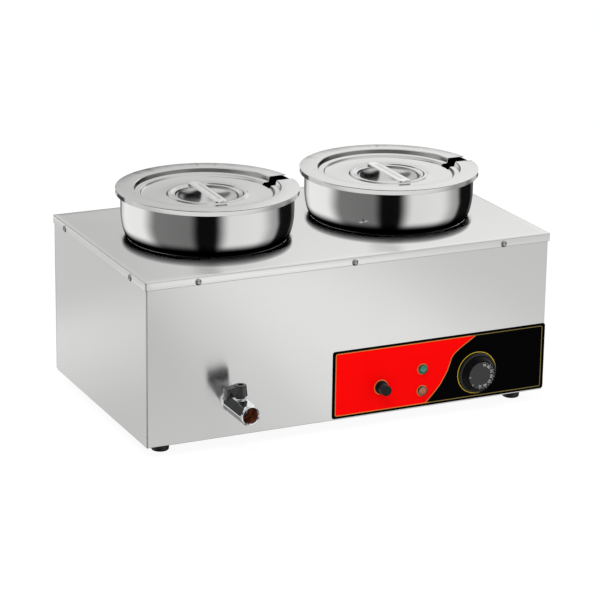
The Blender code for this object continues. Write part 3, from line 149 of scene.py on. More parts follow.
def new_finish(name, colour, metallic, roughness, **sockets):
    """A material with one Principled shader, and the node tree, shader and object coordinates to add to."""
    material = bpy.data.materials.new(name)
    material.use_nodes = True
    tree = material.node_tree
    shader = next(item for item in tree.nodes if item.type == "BSDF_PRINCIPLED")
    shader.inputs["Base Color"].default_value = linear(colour)
    shader.inputs["Metallic"].default_value = metallic
    shader.inputs["Roughness"].default_value = roughness
    for label, value in sockets.items():
        shader.inputs[label.replace("_", " ").title().replace("Ior", "IOR")].default_value = value
    return material, tree, shader, (add_node(tree, "ShaderNodeTexCoord"), "Object")


def noise(tree, where, scale, detail):
    """Soft noise with so many cells to the metre."""
    cloud = add_node(tree, "ShaderNodeTexNoise", {"Vector": where, "Scale": scale, "Detail": detail})
    return cloud, "Fac"


def blotch(tree, shader, colour, amount, size, where):
    """Varies the colour a little in soft clouds of about that size, as handling and light wear do."""
    darker = tuple(channel * (1 - amount) for channel in linear(colour)[:3]) + (1.0,)
    tint = colour_mix(tree, noise(tree, where, 1 / size, 3.0), linear(colour), darker)
    link(tree, tint, shader.inputs["Base Color"])


def rough_range(tree, shader, source, low, high):
    rough = add_node(tree, "ShaderNodeMapRange", {"Value": source, "To Min": low, "To Max": high})
    link(tree, (rough, "Result"), shader.inputs["Roughness"])


def bump(tree, shader, source, strength, distance):
    relief = add_node(tree, "ShaderNodeBump", {"Height": source, "Strength": strength, "Distance": distance})
    link(tree, (relief, "Normal"), shader.inputs["Normal"])


# Surfaces

def unit(vectors):
    """Each row at length one."""
    return vectors / np.maximum(np.linalg.norm(vectors, axis=-1, keepdims=True), 1e-12)


def spread(*stops, steps=8):
    """Even steps between neighbouring stops, without repeats."""
    stretches = [np.linspace(a, b, steps, endpoint=False) for a, b in zip(stops, stops[1:])]
    return np.concatenate([*stretches, [stops[-1]]])


def filleted(corners, radii, steps=6):
    """Rounds the inner corners of an open outline. Each corner becomes an arc that touches both its sides:
    its hub lies on the corner's bisector at radius / sin(half angle), and its spokes turn evenly from side
    to side."""
    corners = np.asarray(corners, float)
    middles = corners[1:-1]
    radii = np.broadcast_to(np.asarray(radii, float), len(middles))[:, None]
    back, ahead = unit(corners[:-2] - middles), unit(corners[2:] - middles)
    half = np.arccos(np.clip((back * ahead).sum(1, keepdims=True), -0.99999, 0.99999)) / 2
    hubs = middles + unit(back + ahead) * radii / np.sin(half)
    first = (middles + back * radii / np.tan(half) - hubs)[:, None]
    last = (middles + ahead * radii / np.tan(half) - hubs)[:, None]
    turn = (HALF_TURN - 2 * half)[:, :, None]
    share = np.linspace(0, 1, steps + 1)[None, :, None]
    arcs = (np.sin((1 - share) * turn) * first + np.sin(share * turn) * last) / np.sin(turn)
    return np.vstack([corners[:1], (hubs[:, None] + arcs).reshape(-1, 2), corners[-1:]])


def distinct(outline):
    """The outline without points that repeat the one before."""
    keep = np.concatenate([[True], np.linalg.norm(np.diff(outline, axis=0), axis=1) > 1e-6])
    return outline[keep]


def parallel(outline, distance, closed=False):
    """The outline moved to its left by a distance: each point goes along its mitre, the mean of its sides'
    normals divided by how far that mean leans."""
    if closed:
        before, after = unit(outline - np.roll(outline, 1, 0)), unit(np.roll(outline, -1, 0) - outline)
    else:
        sides = unit(np.diff(outline, axis=0))
        before, after = np.vstack([sides[:1], sides]), np.vstack([sides, sides[-1:]])
    mean = unit(before + after)
    lean = (mean * after).sum(1, keepdims=True)
    normal = np.stack([-mean[:, 1], mean[:, 0]], 1)
    return outline + normal * distance / np.maximum(lean, 0.35)


def sheet_section(outline, thickness):
    """A sheet's closed section: its outline, then back along the parallel at its thickness."""
    outline = distinct(outline)
    return np.vstack([outline, parallel(outline, thickness)[::-1]])


def round_loop(width, height, radius, side_steps=1, corner_steps=6):
    """A rectangle with rounded corners, counterclockwise, as a closed loop round its centre."""
    x, y = width / 2 - radius, height / 2 - radius
    hubs = np.array([(x, -y), (x, y), (-x, y), (-x, -y)])
    angles = np.linspace(0, HALF_TURN / 2, corner_steps + 1)[None] + np.arange(-1, 3)[:, None] * HALF_TURN / 2
    corners = hubs[:, None] + radius * np.stack([np.cos(angles), np.sin(angles)], 2)
    share = np.arange(1, side_steps)[None, :, None] / side_steps
    sides = corners[:, -1:] * (1 - share) + np.roll(corners, -1, 0)[:, :1] * share
    return np.concatenate([corners, sides], 1).reshape(-1, 2)


def smooth_through(points, steps=12):
    """A smooth path through points: on each stretch a cubic whose ends lean as the neighbours' chord does."""
    points = np.asarray(points, float)
    padded = np.vstack([2 * points[0] - points[1], points, 2 * points[-1] - points[-2]])
    a, b, c, d = padded[:-3, None], padded[1:-2, None], padded[2:-1, None], padded[3:, None]
    t = np.linspace(0, 1, steps, endpoint=False)[None, :, None]
    path = (2 * b + (c - a) * t + (2 * a - 5 * b + 4 * c - d) * t ** 2 + (3 * b - a - 3 * c + d) * t ** 3) / 2
    return np.vstack([path.reshape(-1, 2), points[-1:]])


def turned(radius, angle, height):
    """Points at a radius, angle and height about an axis: x = r cos a, y = r sin a, z = height."""
    x, y = np.cos(angle) * radius, np.sin(angle) * radius
    return np.stack([x, y, np.broadcast_to(height, x.shape)], 2)


def round_angles(count):
    return np.arange(count) * FULL_TURN / count


def spun(section, segments):
    """Turns a section (radius, height) about its axis."""
    radius, height = np.asarray(section, float).T
    return turned(radius, round_angles(segments)[:, None], height)


def stacked(loops, heights):
    """Loops (rows, points, 2) set at their heights, one per row."""
    heights = np.broadcast_to(np.asarray(heights, float)[:, None], loops.shape[:2])
    return np.concatenate([loops, heights[..., None]], 2)


def pillow(loop, low, high, edge, steps=4):
    """A slab with rounded edges: rows of the loop, drawn in by edge * (1 - sin t) at heights that ease from
    both faces by edge * (1 - cos t)."""
    t = np.linspace(0, HALF_TURN / 2, steps + 1)
    inset = np.concatenate([edge * (1 - np.sin(t)), edge * (1 - np.sin(t[::-1]))])
    heights = np.concatenate([low + edge * (1 - np.cos(t)), high - edge * (1 - np.cos(t[::-1]))])
    rows = np.stack([parallel(loop, distance, closed=True) for distance in inset])
    return stacked(rows, heights)


def carried(path, section, closed=False):
    """Carries a section (across, height) along a flat path: each row is the path's point plus across times
    the path's normal there."""
    if closed:
        along = unit(np.roll(path, -1, 0) - np.roll(path, 1, 0))
    else:
        along = unit(np.gradient(path, axis=0))
    normal = np.stack([-along[:, 1], along[:, 0]], 1)
    section = np.asarray(section, float)
    flat = path[:, None] + normal[:, None] * section[None, :, :1]
    return np.concatenate([flat, np.broadcast_to(section[None, :, 1:], (*flat.shape[:2], 1))], 2)


def placed(points, at, turn=None):
    """Points turned by a matrix's rows and moved."""
    turn = np.eye(3) if turn is None else np.array(turn)
    return points @ turn.T + np.array(at)


FACING_FRONT = ((1, 0, 0), (0, 0, -1), (0, 1, 0))
FACING_BACK = ((-1, 0, 0), (0, 0, 1), (0, 1, 0))
FACING_LEFT = ((0, 0, -1), (-1, 0, 0), (0, 1, 0))
FACING_RIGHT = ((0, 0, 1), (1, 0, 0), (0, 1, 0))


def turned_about_z(angle):
    c, s = math.cos(angle), math.sin(angle)
    return ((c, -s, 0), (s, c, 0), (0, 0, 1))


def net(points, along=False, around=False, ends=False, keep=None):
    """The quads of a grid of points. Along closes the rows into a ring, around closes each row, ends caps the
    first and last row, and keep is a mask of the quads to make."""
    rows, columns = points.shape[:2]
    index = np.arange(rows * columns).reshape(rows, columns)
    if along:
        index = np.vstack([index, index[:1]])
    if around:
        index = np.hstack([index, index[:, :1]])
    quads = np.stack([index[:-1, :-1], index[:-1, 1:], index[1:, 1:], index[1:, :-1]], 2)
    quads = quads[keep] if keep is not None else quads.reshape(-1, 4)
    caps = [index[0, :columns].tolist(), index[-1, :columns].tolist()] if ends else []
    return points.reshape(-1, 3), quads.tolist() + caps


def raw_mesh(name, nets, join=2e-6):
    """One mesh from several nets, with its seams and poles closed and its faces turned outwards."""
    points, faces, count = [], [], 0
    for some, quads in nets:
        points.append(some)
        faces += [[corner + count for corner in quad] for quad in quads]
        count += len(some)
    mesh = bpy.data.meshes.new(name)
    mesh.from_pydata(np.vstack(points).tolist(), [], faces)
    work = bmesh.new()
    work.from_mesh(mesh)
    bmesh.ops.remove_doubles(work, verts=work.verts, dist=join)
    bmesh.ops.dissolve_degenerate(work, dist=1e-7, edges=work.edges)
    bmesh.ops.recalc_face_normals(work, faces=work.faces)
    work.to_mesh(mesh)
    work.free()
    return mesh


def shown(mesh, material, body, slot, *replaced, sharp=32):
    """Shows a mesh as a piece that rides on a body, in that material, in place of the named nodes."""
    mesh.shade_smooth()
    mesh.set_sharp_from_angle(angle=math.radians(sharp))
    mesh.materials.clear()
    mesh.materials.append(material)
    item = bpy.data.objects.new(mesh.name, mesh)
    bpy.context.scene.collection.objects.link(item)
    item.visible_glossy = mesh.name in MIRRORED
    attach(item, body)
    if replaced:
        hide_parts(*replaced)
    return item


def piece(name, nets, material, body, slot, *replaced, sharp=32):
    return shown(raw_mesh(name, nets), material, body, slot, *replaced, sharp=sharp)


def carved(mesh, cutters):
    """Cuts the cutters' meshes out of a mesh with the exact solver."""
    target = bpy.data.objects.new("being_cut", mesh)
    bpy.context.scene.collection.objects.link(target)
    tools = []
    for cutter in cutters:
        tool = bpy.data.objects.new("cutter", cutter)
        bpy.context.scene.collection.objects.link(tool)
        step = target.modifiers.new("cut", "BOOLEAN")
        step.operation = "DIFFERENCE"
        step.solver = "EXACT"
        step.object = tool
        tools.append(tool)
    seen = target.evaluated_get(bpy.context.evaluated_depsgraph_get())
    result = bpy.data.meshes.new_from_object(seen)
    result.name = mesh.name
    for item in [target, *tools]:
        bpy.data.objects.remove(item)
    return result


def mesh_points(mesh):
    points = np.empty(len(mesh.vertices) * 3)
    mesh.vertices.foreach_get("co", points)
    return points.reshape(-1, 3)


def set_points(mesh, points):
    mesh.vertices.foreach_set("co", points.ravel())
    mesh.update()


def recoat(material, *names):
    """Gives CAD nodes that stay in view a finish."""
    for name in names:
        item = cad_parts[name]
        item.visible_glossy = False
        for place in item.material_slots:
            place.material = material


# Finishes

def satin_steel(name, colour, roughness):
    """Brushed stainless sheet: a soft grey mirror, blurred across its grain, with faint lines along it."""
    material, tree, shader, place = new_finish(name, colour, 1.0, roughness, anisotropic=0.85,
                                               anisotropic_rotation=0.25)
    facing = add_node(tree, "ShaderNodeNewGeometry")
    lean = add_node(tree, "ShaderNodeSeparateXYZ", {"Vector": (facing, "Normal")})
    flat = number_math(tree, "ABSOLUTE", (lean, "Z"))
    # the real grain is about 0.05 mm apart, drawn here at 0.7 mm so that it shows
    stretch = add_node(tree, "ShaderNodeMix", {"Factor": flat, 4: (14.0, 14.0, 1400.0),
                                               5: (14.0, 1400.0, 14.0)}, data_type="VECTOR")
    where = vector_math(tree, "MULTIPLY", place, (stretch, 1))
    grain = noise(tree, (where, "Vector"), 1.0, 4.0)
    grain[0].inputs["Roughness"].default_value = 0.65
    blotch(tree, shader, colour, 0.035, 0.09, place)
    rough_range(tree, shader, grain, roughness - 0.015, roughness + 0.018)
    bump(tree, shader, grain, 0.01, 0.2 * MM)
    grain_line = vector_math(tree, "CROSS_PRODUCT", (facing, "Normal"), (0.0, 0.02, 1.0))
    link(tree, (grain_line, "Vector"), shader.inputs["Tangent"])
    return material


def polished_steel(roughness):
    """Deep drawn, mirror polished stainless: sharp bands of light with a hint of haze."""
    colour = "#E6E6E5"
    material, tree, shader, place = new_finish("polished stainless", colour, 1.0, roughness)
    where = add_node(tree, "ShaderNodeMapping", {"Vector": place, "Scale": (30.0, 30.0, 420.0)})
    lines = noise(tree, (where, "Vector"), 1.0, 2.0)
    rough_range(tree, shader, lines, roughness * 0.8, roughness * 1.25)
    blotch(tree, shader, colour, 0.03, 0.05, place)
    return material


def spun_steel(roughness, centre):
    """Stainless polished on a turning wheel: fine rings round the lid's centre."""
    colour = "#D8D8D7"
    material, tree, shader, place = new_finish("wheel polished stainless", colour, 1.0, roughness)
    where = add_node(tree, "ShaderNodeMapping", {"Vector": place, "Location": (-centre.x, -centre.y, 0.0)})
    flat = vector_math(tree, "MULTIPLY", (where, "Vector"), (1.0, 1.0, 0.0))
    radius = vector_math(tree, "LENGTH", (flat, "Vector"))
    # the wheel's marks are finer than 0.1 mm, drawn here at about 1 mm
    rings = add_node(tree, "ShaderNodeTexNoise", {"W": (radius, "Value"), "Scale": 900.0, "Detail": 3.0},
                     noise_dimensions="1D")
    rough_range(tree, shader, (rings, "Fac"), roughness * 0.75, roughness * 1.3)
    bump(tree, shader, (rings, "Fac"), 0.04, 0.2 * MM)
    blotch(tree, shader, colour, 0.03, 0.05, place)
    return material


def dull_steel():
    """Plain mill-finish stainless of parts inside: an even, soft grey."""
    colour = "#BFBFBD"
    material, tree, shader, place = new_finish("mill finish stainless", colour, 1.0, 0.4)
    rough_range(tree, shader, noise(tree, place, 220.0, 3.0), 0.3, 0.5)
    blotch(tree, shader, colour, 0.08, 0.04, place)
    return material


def nickel_plate():
    """Nickel plated steel of the screws: a soft shine with small darker blotches."""
    colour = "#C4C3C1"
    material, tree, shader, place = new_finish("nickel plated steel", colour, 1.0, 0.2)
    blotch(tree, shader, colour, 0.3, 0.004, place)
    return material


def chrome():
    """Bright chrome plate over cast brass: a cool mirror with slight ripples from the casting."""
    material, tree, shader, place = new_finish("chrome plate", "#EDEEF0", 1.0, 0.07)
    ripple = noise(tree, place, 130.0, 2.0)
    bump(tree, shader, ripple, 0.02, 0.6 * MM)
    rough_range(tree, shader, ripple, 0.04, 0.12)
    return material


def bare_brass(name, colour, roughness=0.32):
    """Machined brass that has darkened with use: warm and blotched. The tap's throat gets a darker colour
    still, as painted shade.
    """
    material, tree, shader, place = new_finish(name, colour, 1.0, roughness)
    mottle = noise(tree, place, 260.0, 4.0)
    rough_range(tree, shader, mottle, roughness - 0.1, roughness + 0.14)
    blotch(tree, shader, colour, 0.45, 0.006, place)
    bump(tree, shader, mottle, 0.15, 0.2 * MM)
    return material


def moulded(name, colour, roughness, grit, depth, specular=0.5):
    """A moulded or cast non-metal: its skin's fine grit, coarse enough to show, breaks up the highlights."""
    material, tree, shader, place = new_finish(name, colour, 0.0, roughness, specular_ior_level=specular)
    skin = noise(tree, place, 1 / grit, 3.0)
    rough_range(tree, shader, skin, roughness - 0.07, roughness + 0.09)
    bump(tree, shader, skin, 0.25, depth)
    blotch(tree, shader, colour, 0.12, 0.02, place)
    return material


def printed(name, colour, specular):
    """Silk screen print on a matt overlay film: a flat, full colour with almost no shine."""
    material, tree, shader, place = new_finish(name, colour, 0.0, 0.6, specular_ior_level=specular)
    rough_range(tree, shader, noise(tree, place, 2500.0, 1.0), 0.5, 0.7)
    blotch(tree, shader, colour, 0.02, 0.03, place)
    return material


def gold_ink(name, colour):
    """Metallic gold ink: warm, softly shining flakes, so it darkens or brightens as the light turns."""
    material, tree, shader, place = new_finish(name, colour, 0.6, 0.45)
    rough_range(tree, shader, noise(tree, place, 1800.0, 2.0), 0.35, 0.6)
    blotch(tree, shader, colour, 0.15, 0.01, place)
    return material


def lens(name, colour):
    """A tinted acrylic indicator lens: deep colour under a clear gloss, with fine facets that scatter light."""
    material, tree, shader, place = new_finish(name, colour, 0.0, 0.16, coat_weight=0.6,
                                               coat_roughness=0.05)
    cells = add_node(tree, "ShaderNodeTexVoronoi", {"Vector": place, "Scale": 900.0})
    bump(tree, shader, (cells, "Distance"), 0.35, 0.3 * MM)
    blotch(tree, shader, colour, 0.4, 0.004, place)
    return material


# Settings that a user would change

class BainMarieSteel(bpy.types.PropertyGroup):
    wall_roughness: FloatProperty(name="Wall Roughness", default=0.2, min=0.05, max=0.6,
                                  description="Blur of the brushed sheet of the walls")
    deck_roughness: FloatProperty(name="Deck Roughness", default=0.2, min=0.05, max=0.6,
                                  description="Blur of the brushed sheet of the cover")
    polish_roughness: FloatProperty(name="Polish Roughness", description="Blur of the pots' mirror polish",
                                    default=0.09, min=0.0, max=0.4)
    lid_roughness: FloatProperty(name="Lid Roughness", description="Blur of the lids' wheel polish",
                                 default=0.17, min=0.0, max=0.4)


class BainMariePots(bpy.types.PropertyGroup):
    wall_radius: FloatProperty(name="Wall Radius", description="Outer radius of a pot's upright wall",
                               default=111.5 * MM, min=0.05, unit="LENGTH")
    wall_thickness: FloatProperty(name="Wall Thickness", description="Thickness of the pots' sheet",
                                  default=0.8 * MM, min=0.0003, unit="LENGTH")
    segments: IntProperty(name="Segments", description="Steps round a pot or a lid", default=168, min=48,
                          max=360)


class BainMariePrint(bpy.types.PropertyGroup):
    red: FloatVectorProperty(name="Red Field", description="Colour of the printed field", subtype="COLOR",
                             size=4, default=linear("#FF0000"), min=0.0, max=1.0)
    side_border: FloatProperty(name="Side Inset", default=4.6 * MM, min=0.001, unit="LENGTH",
                               description="From the film's ends to the gold border's middle")
    border: FloatProperty(name="Border Inset", default=3.7 * MM, min=0.001, unit="LENGTH",
                          description="From the film's long edges to the gold border's middle")
    line: FloatProperty(name="Line Width", default=1.0 * MM, min=0.0003, unit="LENGTH",
                        description="Width of the gold lines")


class BainMarieStudio(bpy.types.PropertyGroup):
    heading: FloatProperty(name="Camera Heading", default=math.radians(25.381), subtype="ANGLE",
                           description="Camera's turn from straight ahead to the right")
    down: FloatProperty(name="Camera Tilt", description="Camera's look down from level",
                        default=math.radians(17.838), subtype="ANGLE")
    distance: FloatProperty(name="Camera Distance", description="From the camera to the point it aims at",
                            default=3.4044, min=0.5, unit="LENGTH")
    daylight: FloatProperty(name="Room Light", description="Strength of the even light from all round",
                            default=0.85, min=0.0, max=2.0)


def settings(group):
    return getattr(bpy.context.scene, group)


# Housing

def wrap_net(width, front, back, low, high, sheet, bend, turn_in):
    """The folded sheet in plan: a turned-in edge, a side, the front, a side and a turned-in edge, rounded at
    its bends, then raised. Its outer lower edge is rounded off."""
    side = width / 2
    path = distinct(filleted([(turn_in - side, back), (-side, back), (-side, front), (side, front),
                              (side, back), (side - turn_in, back)], bend, 7))
    inner, edge = parallel(path, sheet), 0.9 * sheet
    t = np.linspace(0, HALF_TURN / 2, 6)
    rows = [np.vstack([parallel(path, edge * (1 - math.sin(a))), inner[::-1]]) for a in t]
    rows.append(np.vstack([path, inner[::-1]]))
    return net(stacked(np.stack(rows), [*(low + edge * (1 - np.cos(t))), high]), around=True, ends=True)


def cover_half(centre, side, reach, opening, sheet, skirt, corner, bend, lip, collar, hem):
    """Half of the cover from the middle line to one side. Each column runs outwards from the opening, whose
    collar is turned down over its lip, to the half's edge, then over the bend and down the skirt to its
    rounded hem. Underneath it runs back at the sheet's thickness."""
    inset = corner - bend
    ring = filleted([(0, -reach + bend), (side - bend, -reach + bend), (side - bend, reach - bend),
                     (0, reach - bend)], inset, 6)
    ring = np.vstack([stepped(a, b, 30) for a, b in zip(ring[:-1], ring[1:])] + [ring[-1:]])
    outer_count = len(ring)
    seam = np.stack([np.zeros(40), np.linspace(reach - bend, -reach + bend, 42)[1:-1]], 1)
    edge = np.vstack([ring, seam])
    along = unit(np.gradient(ring, axis=0))
    out = np.vstack([np.stack([along[:, 1], -along[:, 0]], 1), np.zeros_like(seam)])
    hub = np.array(centre)
    ray = unit(edge - hub)
    t = np.linspace(0, HALF_TURN / 2, 6)

    def ringed(radius, height):
        return np.concatenate([hub + ray * radius, np.full((len(edge), 1), height)], 1)

    def beyond(distance, height):
        return np.concatenate([edge + out * distance, np.full((len(edge), 1), height)], 1)

    def between(height, share):
        start = hub + ray * (opening + lip)
        return np.concatenate([start + (edge - start) * share, np.full((len(edge), 1), height)], 1)

    shares = np.linspace(0, 1, 9)[1:]
    rows = [ringed(opening + sheet, -sheet - lip), ringed(opening + sheet, -collar), ringed(opening, -collar)]
    rows += [ringed(opening + lip * (1 - math.sin(a)), -lip * (1 - math.cos(a))) for a in t[::-1]]
    rows += [between(0.0, share) for share in shares]
    skirt_start = len(rows) - 1
    rows += [beyond(bend * math.sin(a), bend * (math.cos(a) - 1)) for a in t[1:]]
    rows += [beyond(bend - hem * (1 - math.cos(a)), hem * (1 - math.sin(a)) - skirt)
             for a in np.linspace(0, HALF_TURN / 2, 4)]
    rows += [beyond(bend - sheet, -skirt), beyond(bend - sheet, -bend), beyond(0.0, -sheet)]
    skirt_end = len(rows) - 1
    rows += [between(-sheet, share) for share in shares[:-1][::-1]]
    rows += [ringed(opening + sheet, -sheet - lip)]
    points = np.stack(rows)
    keep = np.ones((len(rows) - 1, len(edge)), bool)
    keep[skirt_start:skirt_end, outer_count - 1:] = False
    return points, keep


def stepped(start, end, most, gap=9 * MM):
    """Even steps about that gap apart from one point towards the next."""
    count = max(1, int(np.linalg.norm(end - start) / gap))
    return np.linspace(start, end, min(most, count), endpoint=False)


class BAINMARIE_OT_housing(bpy.types.Operator):
    """Folded wrap, back panel and top cover with its two turned-down openings"""
    bl_idname = "bainmarie.housing"
    bl_label = "Housing"

    def execute(self, context):
        finish = settings("bain_marie_steel")
        walls = satin_steel("brushed stainless walls", "#DEDEDD", finish.wall_roughness)
        # painted light: the cover is the walls' steel given a lighter colour, as the top catches more light
        deck = satin_steel("brushed stainless cover painted lighter", "#E6E6E5", finish.deck_roughness)
        low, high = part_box("body_wrap")
        wrap = wrap_net(high.x - low.x, low.y, high.y, low.z - 1.8 * MM, high.z, sheet=1.0 * MM,
                        bend=2.4 * MM, turn_in=14 * MM)
        piece("folded_wrap", [wrap], walls, "housing", "body_steel", "body_wrap")
        side, reach = COVER_HIGH.x, (COVER_HIGH.y - COVER_LOW.y) / 2
        across = (COVER_HIGH.y + COVER_LOW.y) / 2
        pot = middle("pot_right")
        points, keep = cover_half((pot.x, pot.y - across), side, reach, opening=103.3 * MM, sheet=1.0 * MM,
                                  skirt=11 * MM, corner=2.4 * MM, bend=1.6 * MM, lip=1.0 * MM,
                                  collar=8.0 * MM, hem=0.8 * MM)
        nets = []
        for mirror in (1, -1):
            half = placed(points * (mirror, 1, 1), (0, across, COVER_HIGH.z))
            nets.append(net(half, around=True, keep=keep))
        piece("folded_cover", nets, deck, "housing", "body_steel", "top_cover")
        recoat(walls, "back_panel")
        recoat(dull_steel(), "bottom_plate", "water_tank", "drain_socket", "element_stand", "heating_element",
               "thermostat_shaft", "thermostat_bulb")
        return {"FINISHED"}


def cross_recess(size, depth):
    """The cutter of a cross recess: two slim blades that narrow towards the bottom."""
    def blade(turn):
        top = round_loop(size, size * 0.3, size * 0.05)
        rows = np.stack([top * (0.35, 0.6), top, top])
        body = stacked(rows, [-depth, 0.0, depth])
        return net(placed(body, (0, 0, 0), turned_about_z(turn)), around=True, ends=True)
    first = 0.35
    return [raw_mesh("recess", [blade(turn)]) for turn in (first, first + HALF_TURN / 2)]


class BAINMARIE_OT_screws(bpy.types.Operator):
    """Ten pan-head screws that hold the cover, with cross recesses"""
    bl_idname = "bainmarie.screws"
    bl_label = "Cover Screws"

    def execute(self, context):
        nickel = nickel_plate()
        section = np.vstack([filleted([(0, 2.9), (2.2, 2.75), (4.0, 1.7), (4.4, 0.3)], (2.2, 0.9), 5),
                             [(1.75, 0.3), (1.75, -5.5), (0, -5.5)]]) * MM
        head = raw_mesh("screw", [net(spun(section, 32), along=True)])
        recess = cross_recess(size=4.6 * MM, depth=1.5 * MM)
        head = carved(head, [placed_mesh(blade, (0, 0, 2.9 * MM)) for blade in recess])
        points = mesh_points(head)
        facing = {"front": FACING_FRONT, "back": FACING_BACK, "left": FACING_LEFT, "right": FACING_RIGHT}
        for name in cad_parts:
            if not name.startswith("cover_screw_"):
                continue
            low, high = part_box(name)
            seat = Vector((low + high) / 2)
            side = name.split("_")[2]
            outer = {"front": ("y", COVER_LOW.y), "back": ("y", COVER_HIGH.y), "left": ("x", COVER_LOW.x),
                     "right": ("x", COVER_HIGH.x)}[side]
            setattr(seat, outer[0], outer[1])
            copy = head.copy()
            copy.name = name.replace("cover_screw", "pan_screw")
            set_points(copy, placed(points, seat, facing[side]))
            shown(copy, nickel, "housing", "screw_steel", name)
        return {"FINISHED"}


def placed_mesh(mesh, at):
    mesh.transform(Matrix.Translation(at))
    return mesh


class BAINMARIE_OT_feet(bpy.types.Operator):
    """Four tapered rubber feet, each with its screw"""
    bl_idname = "bainmarie.feet"
    bl_label = "Feet"

    def execute(self, context):
        rubber = moulded("moulded black rubber", "#161616", 0.55, 0.6 * MM, 0.2 * MM)
        section = filleted([(6.2, 6.5), (6.2, 0), (11.0, 0), (12.5, 16.9), (2.6, 16.9), (2.6, 6.5)],
                           (0.5, 1.4, 1.0, 0.2), 5) * MM
        for corner in ("front_left", "front_right", "back_left", "back_right"):
            at = middle(f"foot_{corner}")
            grid = placed(spun(section, 56), (at.x, at.y, 0))
            piece(f"rubber_foot_{corner}", [net(grid, along=True, around=True)], rubber, "housing",
                  "foot_rubber", f"foot_{corner}")
            recoat(dull_steel(), f"foot_screw_{corner}")
        return {"FINISHED"}


# Pots and lids

SHOULDER_IN, SHOULDER_DOWN, SHOULDER_TOP = 12.5 * MM, 36.4 * MM, 34 * MM


def shoulder_curve(wall, first, last, steps):
    """The pot's shoulder between two angles: part of an ellipse that draws the wall in towards the neck."""
    t = np.linspace(first, last, steps)
    radius = wall - SHOULDER_IN + SHOULDER_IN * np.cos(t)
    return np.stack([radius, SHOULDER_TOP - SHOULDER_DOWN * np.sin(t)], 1)


def pot_section(wall, sheet, floor):
    """The pot's outer side from its centre out to the turned-down rim, heights from the cover's top."""
    shoulder = shoulder_curve(wall, 0.4 * HALF_TURN, 0, 14)
    neck, ledge, top = 97.5 * MM, SHOULDER_TOP - SHOULDER_DOWN, 62 * MM - sheet
    base = filleted([(0, floor), (neck, floor), (neck, ledge), (wall - SHOULDER_IN, ledge)],
                    (8 * MM, 1.2 * MM), 7)
    rim = filleted([shoulder[-1], (wall, top), (114.7 * MM, top), (117.1 * MM, 56.5 * MM)],
                   (1.4 * MM, 1.0 * MM), 6)
    outline = np.vstack([base, shoulder[:-1], rim])
    return sheet_section(outline, sheet)


class BAINMARIE_OT_pots(bpy.types.Operator):
    """Two deep drawn pots with a stepped neck, a curved shoulder and a turned rim"""
    bl_idname = "bainmarie.pots"
    bl_label = "Pots"

    def execute(self, context):
        sizes = settings("bain_marie_pots")
        steel = polished_steel(settings("bain_marie_steel").polish_roughness)
        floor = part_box("pot_left")[0].z - COVER_HIGH.z
        section = pot_section(sizes.wall_radius, sizes.wall_thickness, floor)
        for side in ("left", "right"):
            at = middle(f"pot_{side}")
            grid = placed(spun(section, sizes.segments), (at.x, at.y, COVER_HIGH.z))
            piece(f"drawn_pot_{side}", [net(grid, along=True, around=True)], steel, f"pot_{side}",
                  "polished_steel", f"pot_{side}", sharp=40)
        return {"FINISHED"}


def lid_top():
    """The lid's top side from its centre out to its edge: a sunk dish, a raised bead, a flat floor, a flat
    ledge, the recess wall and the flange. Heights from the flange."""
    t = np.linspace(0, HALF_TURN / 2, 16)
    dish = np.stack([42 * np.sin(t), -10 - 18 * np.cos(t)], 1)
    rest = filleted([(42, -10), (45.2, -9.6), (47.2, -8.2), (50.8, -8.2), (52.8, -10), (84.5, -10),
                     (86.2, -6.4), (92.9, -6.4), (93.9, -1.0), (94.6, 0), (117.75, 0), (118, -0.15)],
                    (0.8, 1.2, 1.2, 1.2, 1.6, 0.9, 0.7, 0.6, 0.5, 0.01), 5)
    return np.vstack([dish[:-1], rest]) * MM


def notched(outline, thickness, width, root, corner, count):
    """A turned sheet with a notch cut from its edge to the root radius. Points run round from one wall of the
    notch to the other: angle = start(r) + v (full turn - 2 start(r)), and start = asin(half width / r) beyond
    the root, so the walls are straight. Inside the root the start is zero and the sheet closes on itself."""
    outline = distinct(outline)
    at = np.searchsorted(outline[:, 0], root)
    fine = root + corner * (1 - np.cos(np.linspace(0, HALF_TURN / 2, 6)[1:]))
    fine = np.concatenate([[root, root + 1e-9], fine])
    nearby = outline[at - 1:at + 8].T
    rounded = np.stack([fine, np.interp(fine, *nearby)], 1)
    beyond = outline[at:][outline[at:, 0] > fine[-1] + 1e-5]
    top = np.vstack([outline[:at], rounded, beyond])
    low = parallel(top, -thickness)
    low[at:at + len(fine), 0] = fine
    low[0, 0] = 0.0

    def sheet(side):
        radius, height = side.T
        depth = np.clip(radius - root, 0, corner)
        half = width / 2 - corner + np.sqrt(np.maximum(corner ** 2 - (corner - depth) ** 2, 0))
        wide = np.arcsin(np.clip(half / np.maximum(radius, 1e-6), 0, 1))
        start = np.where(radius > root + 5e-10, wide, 0.0)
        v = np.linspace(0, 1, count + 1)[:, None]
        return turned(radius, start + v * (FULL_TURN - 2 * start), height)

    upper, lower = sheet(top), sheet(low)
    skin = np.concatenate([upper, lower[:, ::-1]], 1)
    walls = [net(np.stack([upper[row, at:], lower[row, at:]])) for row in (0, -1)]
    return skin, walls


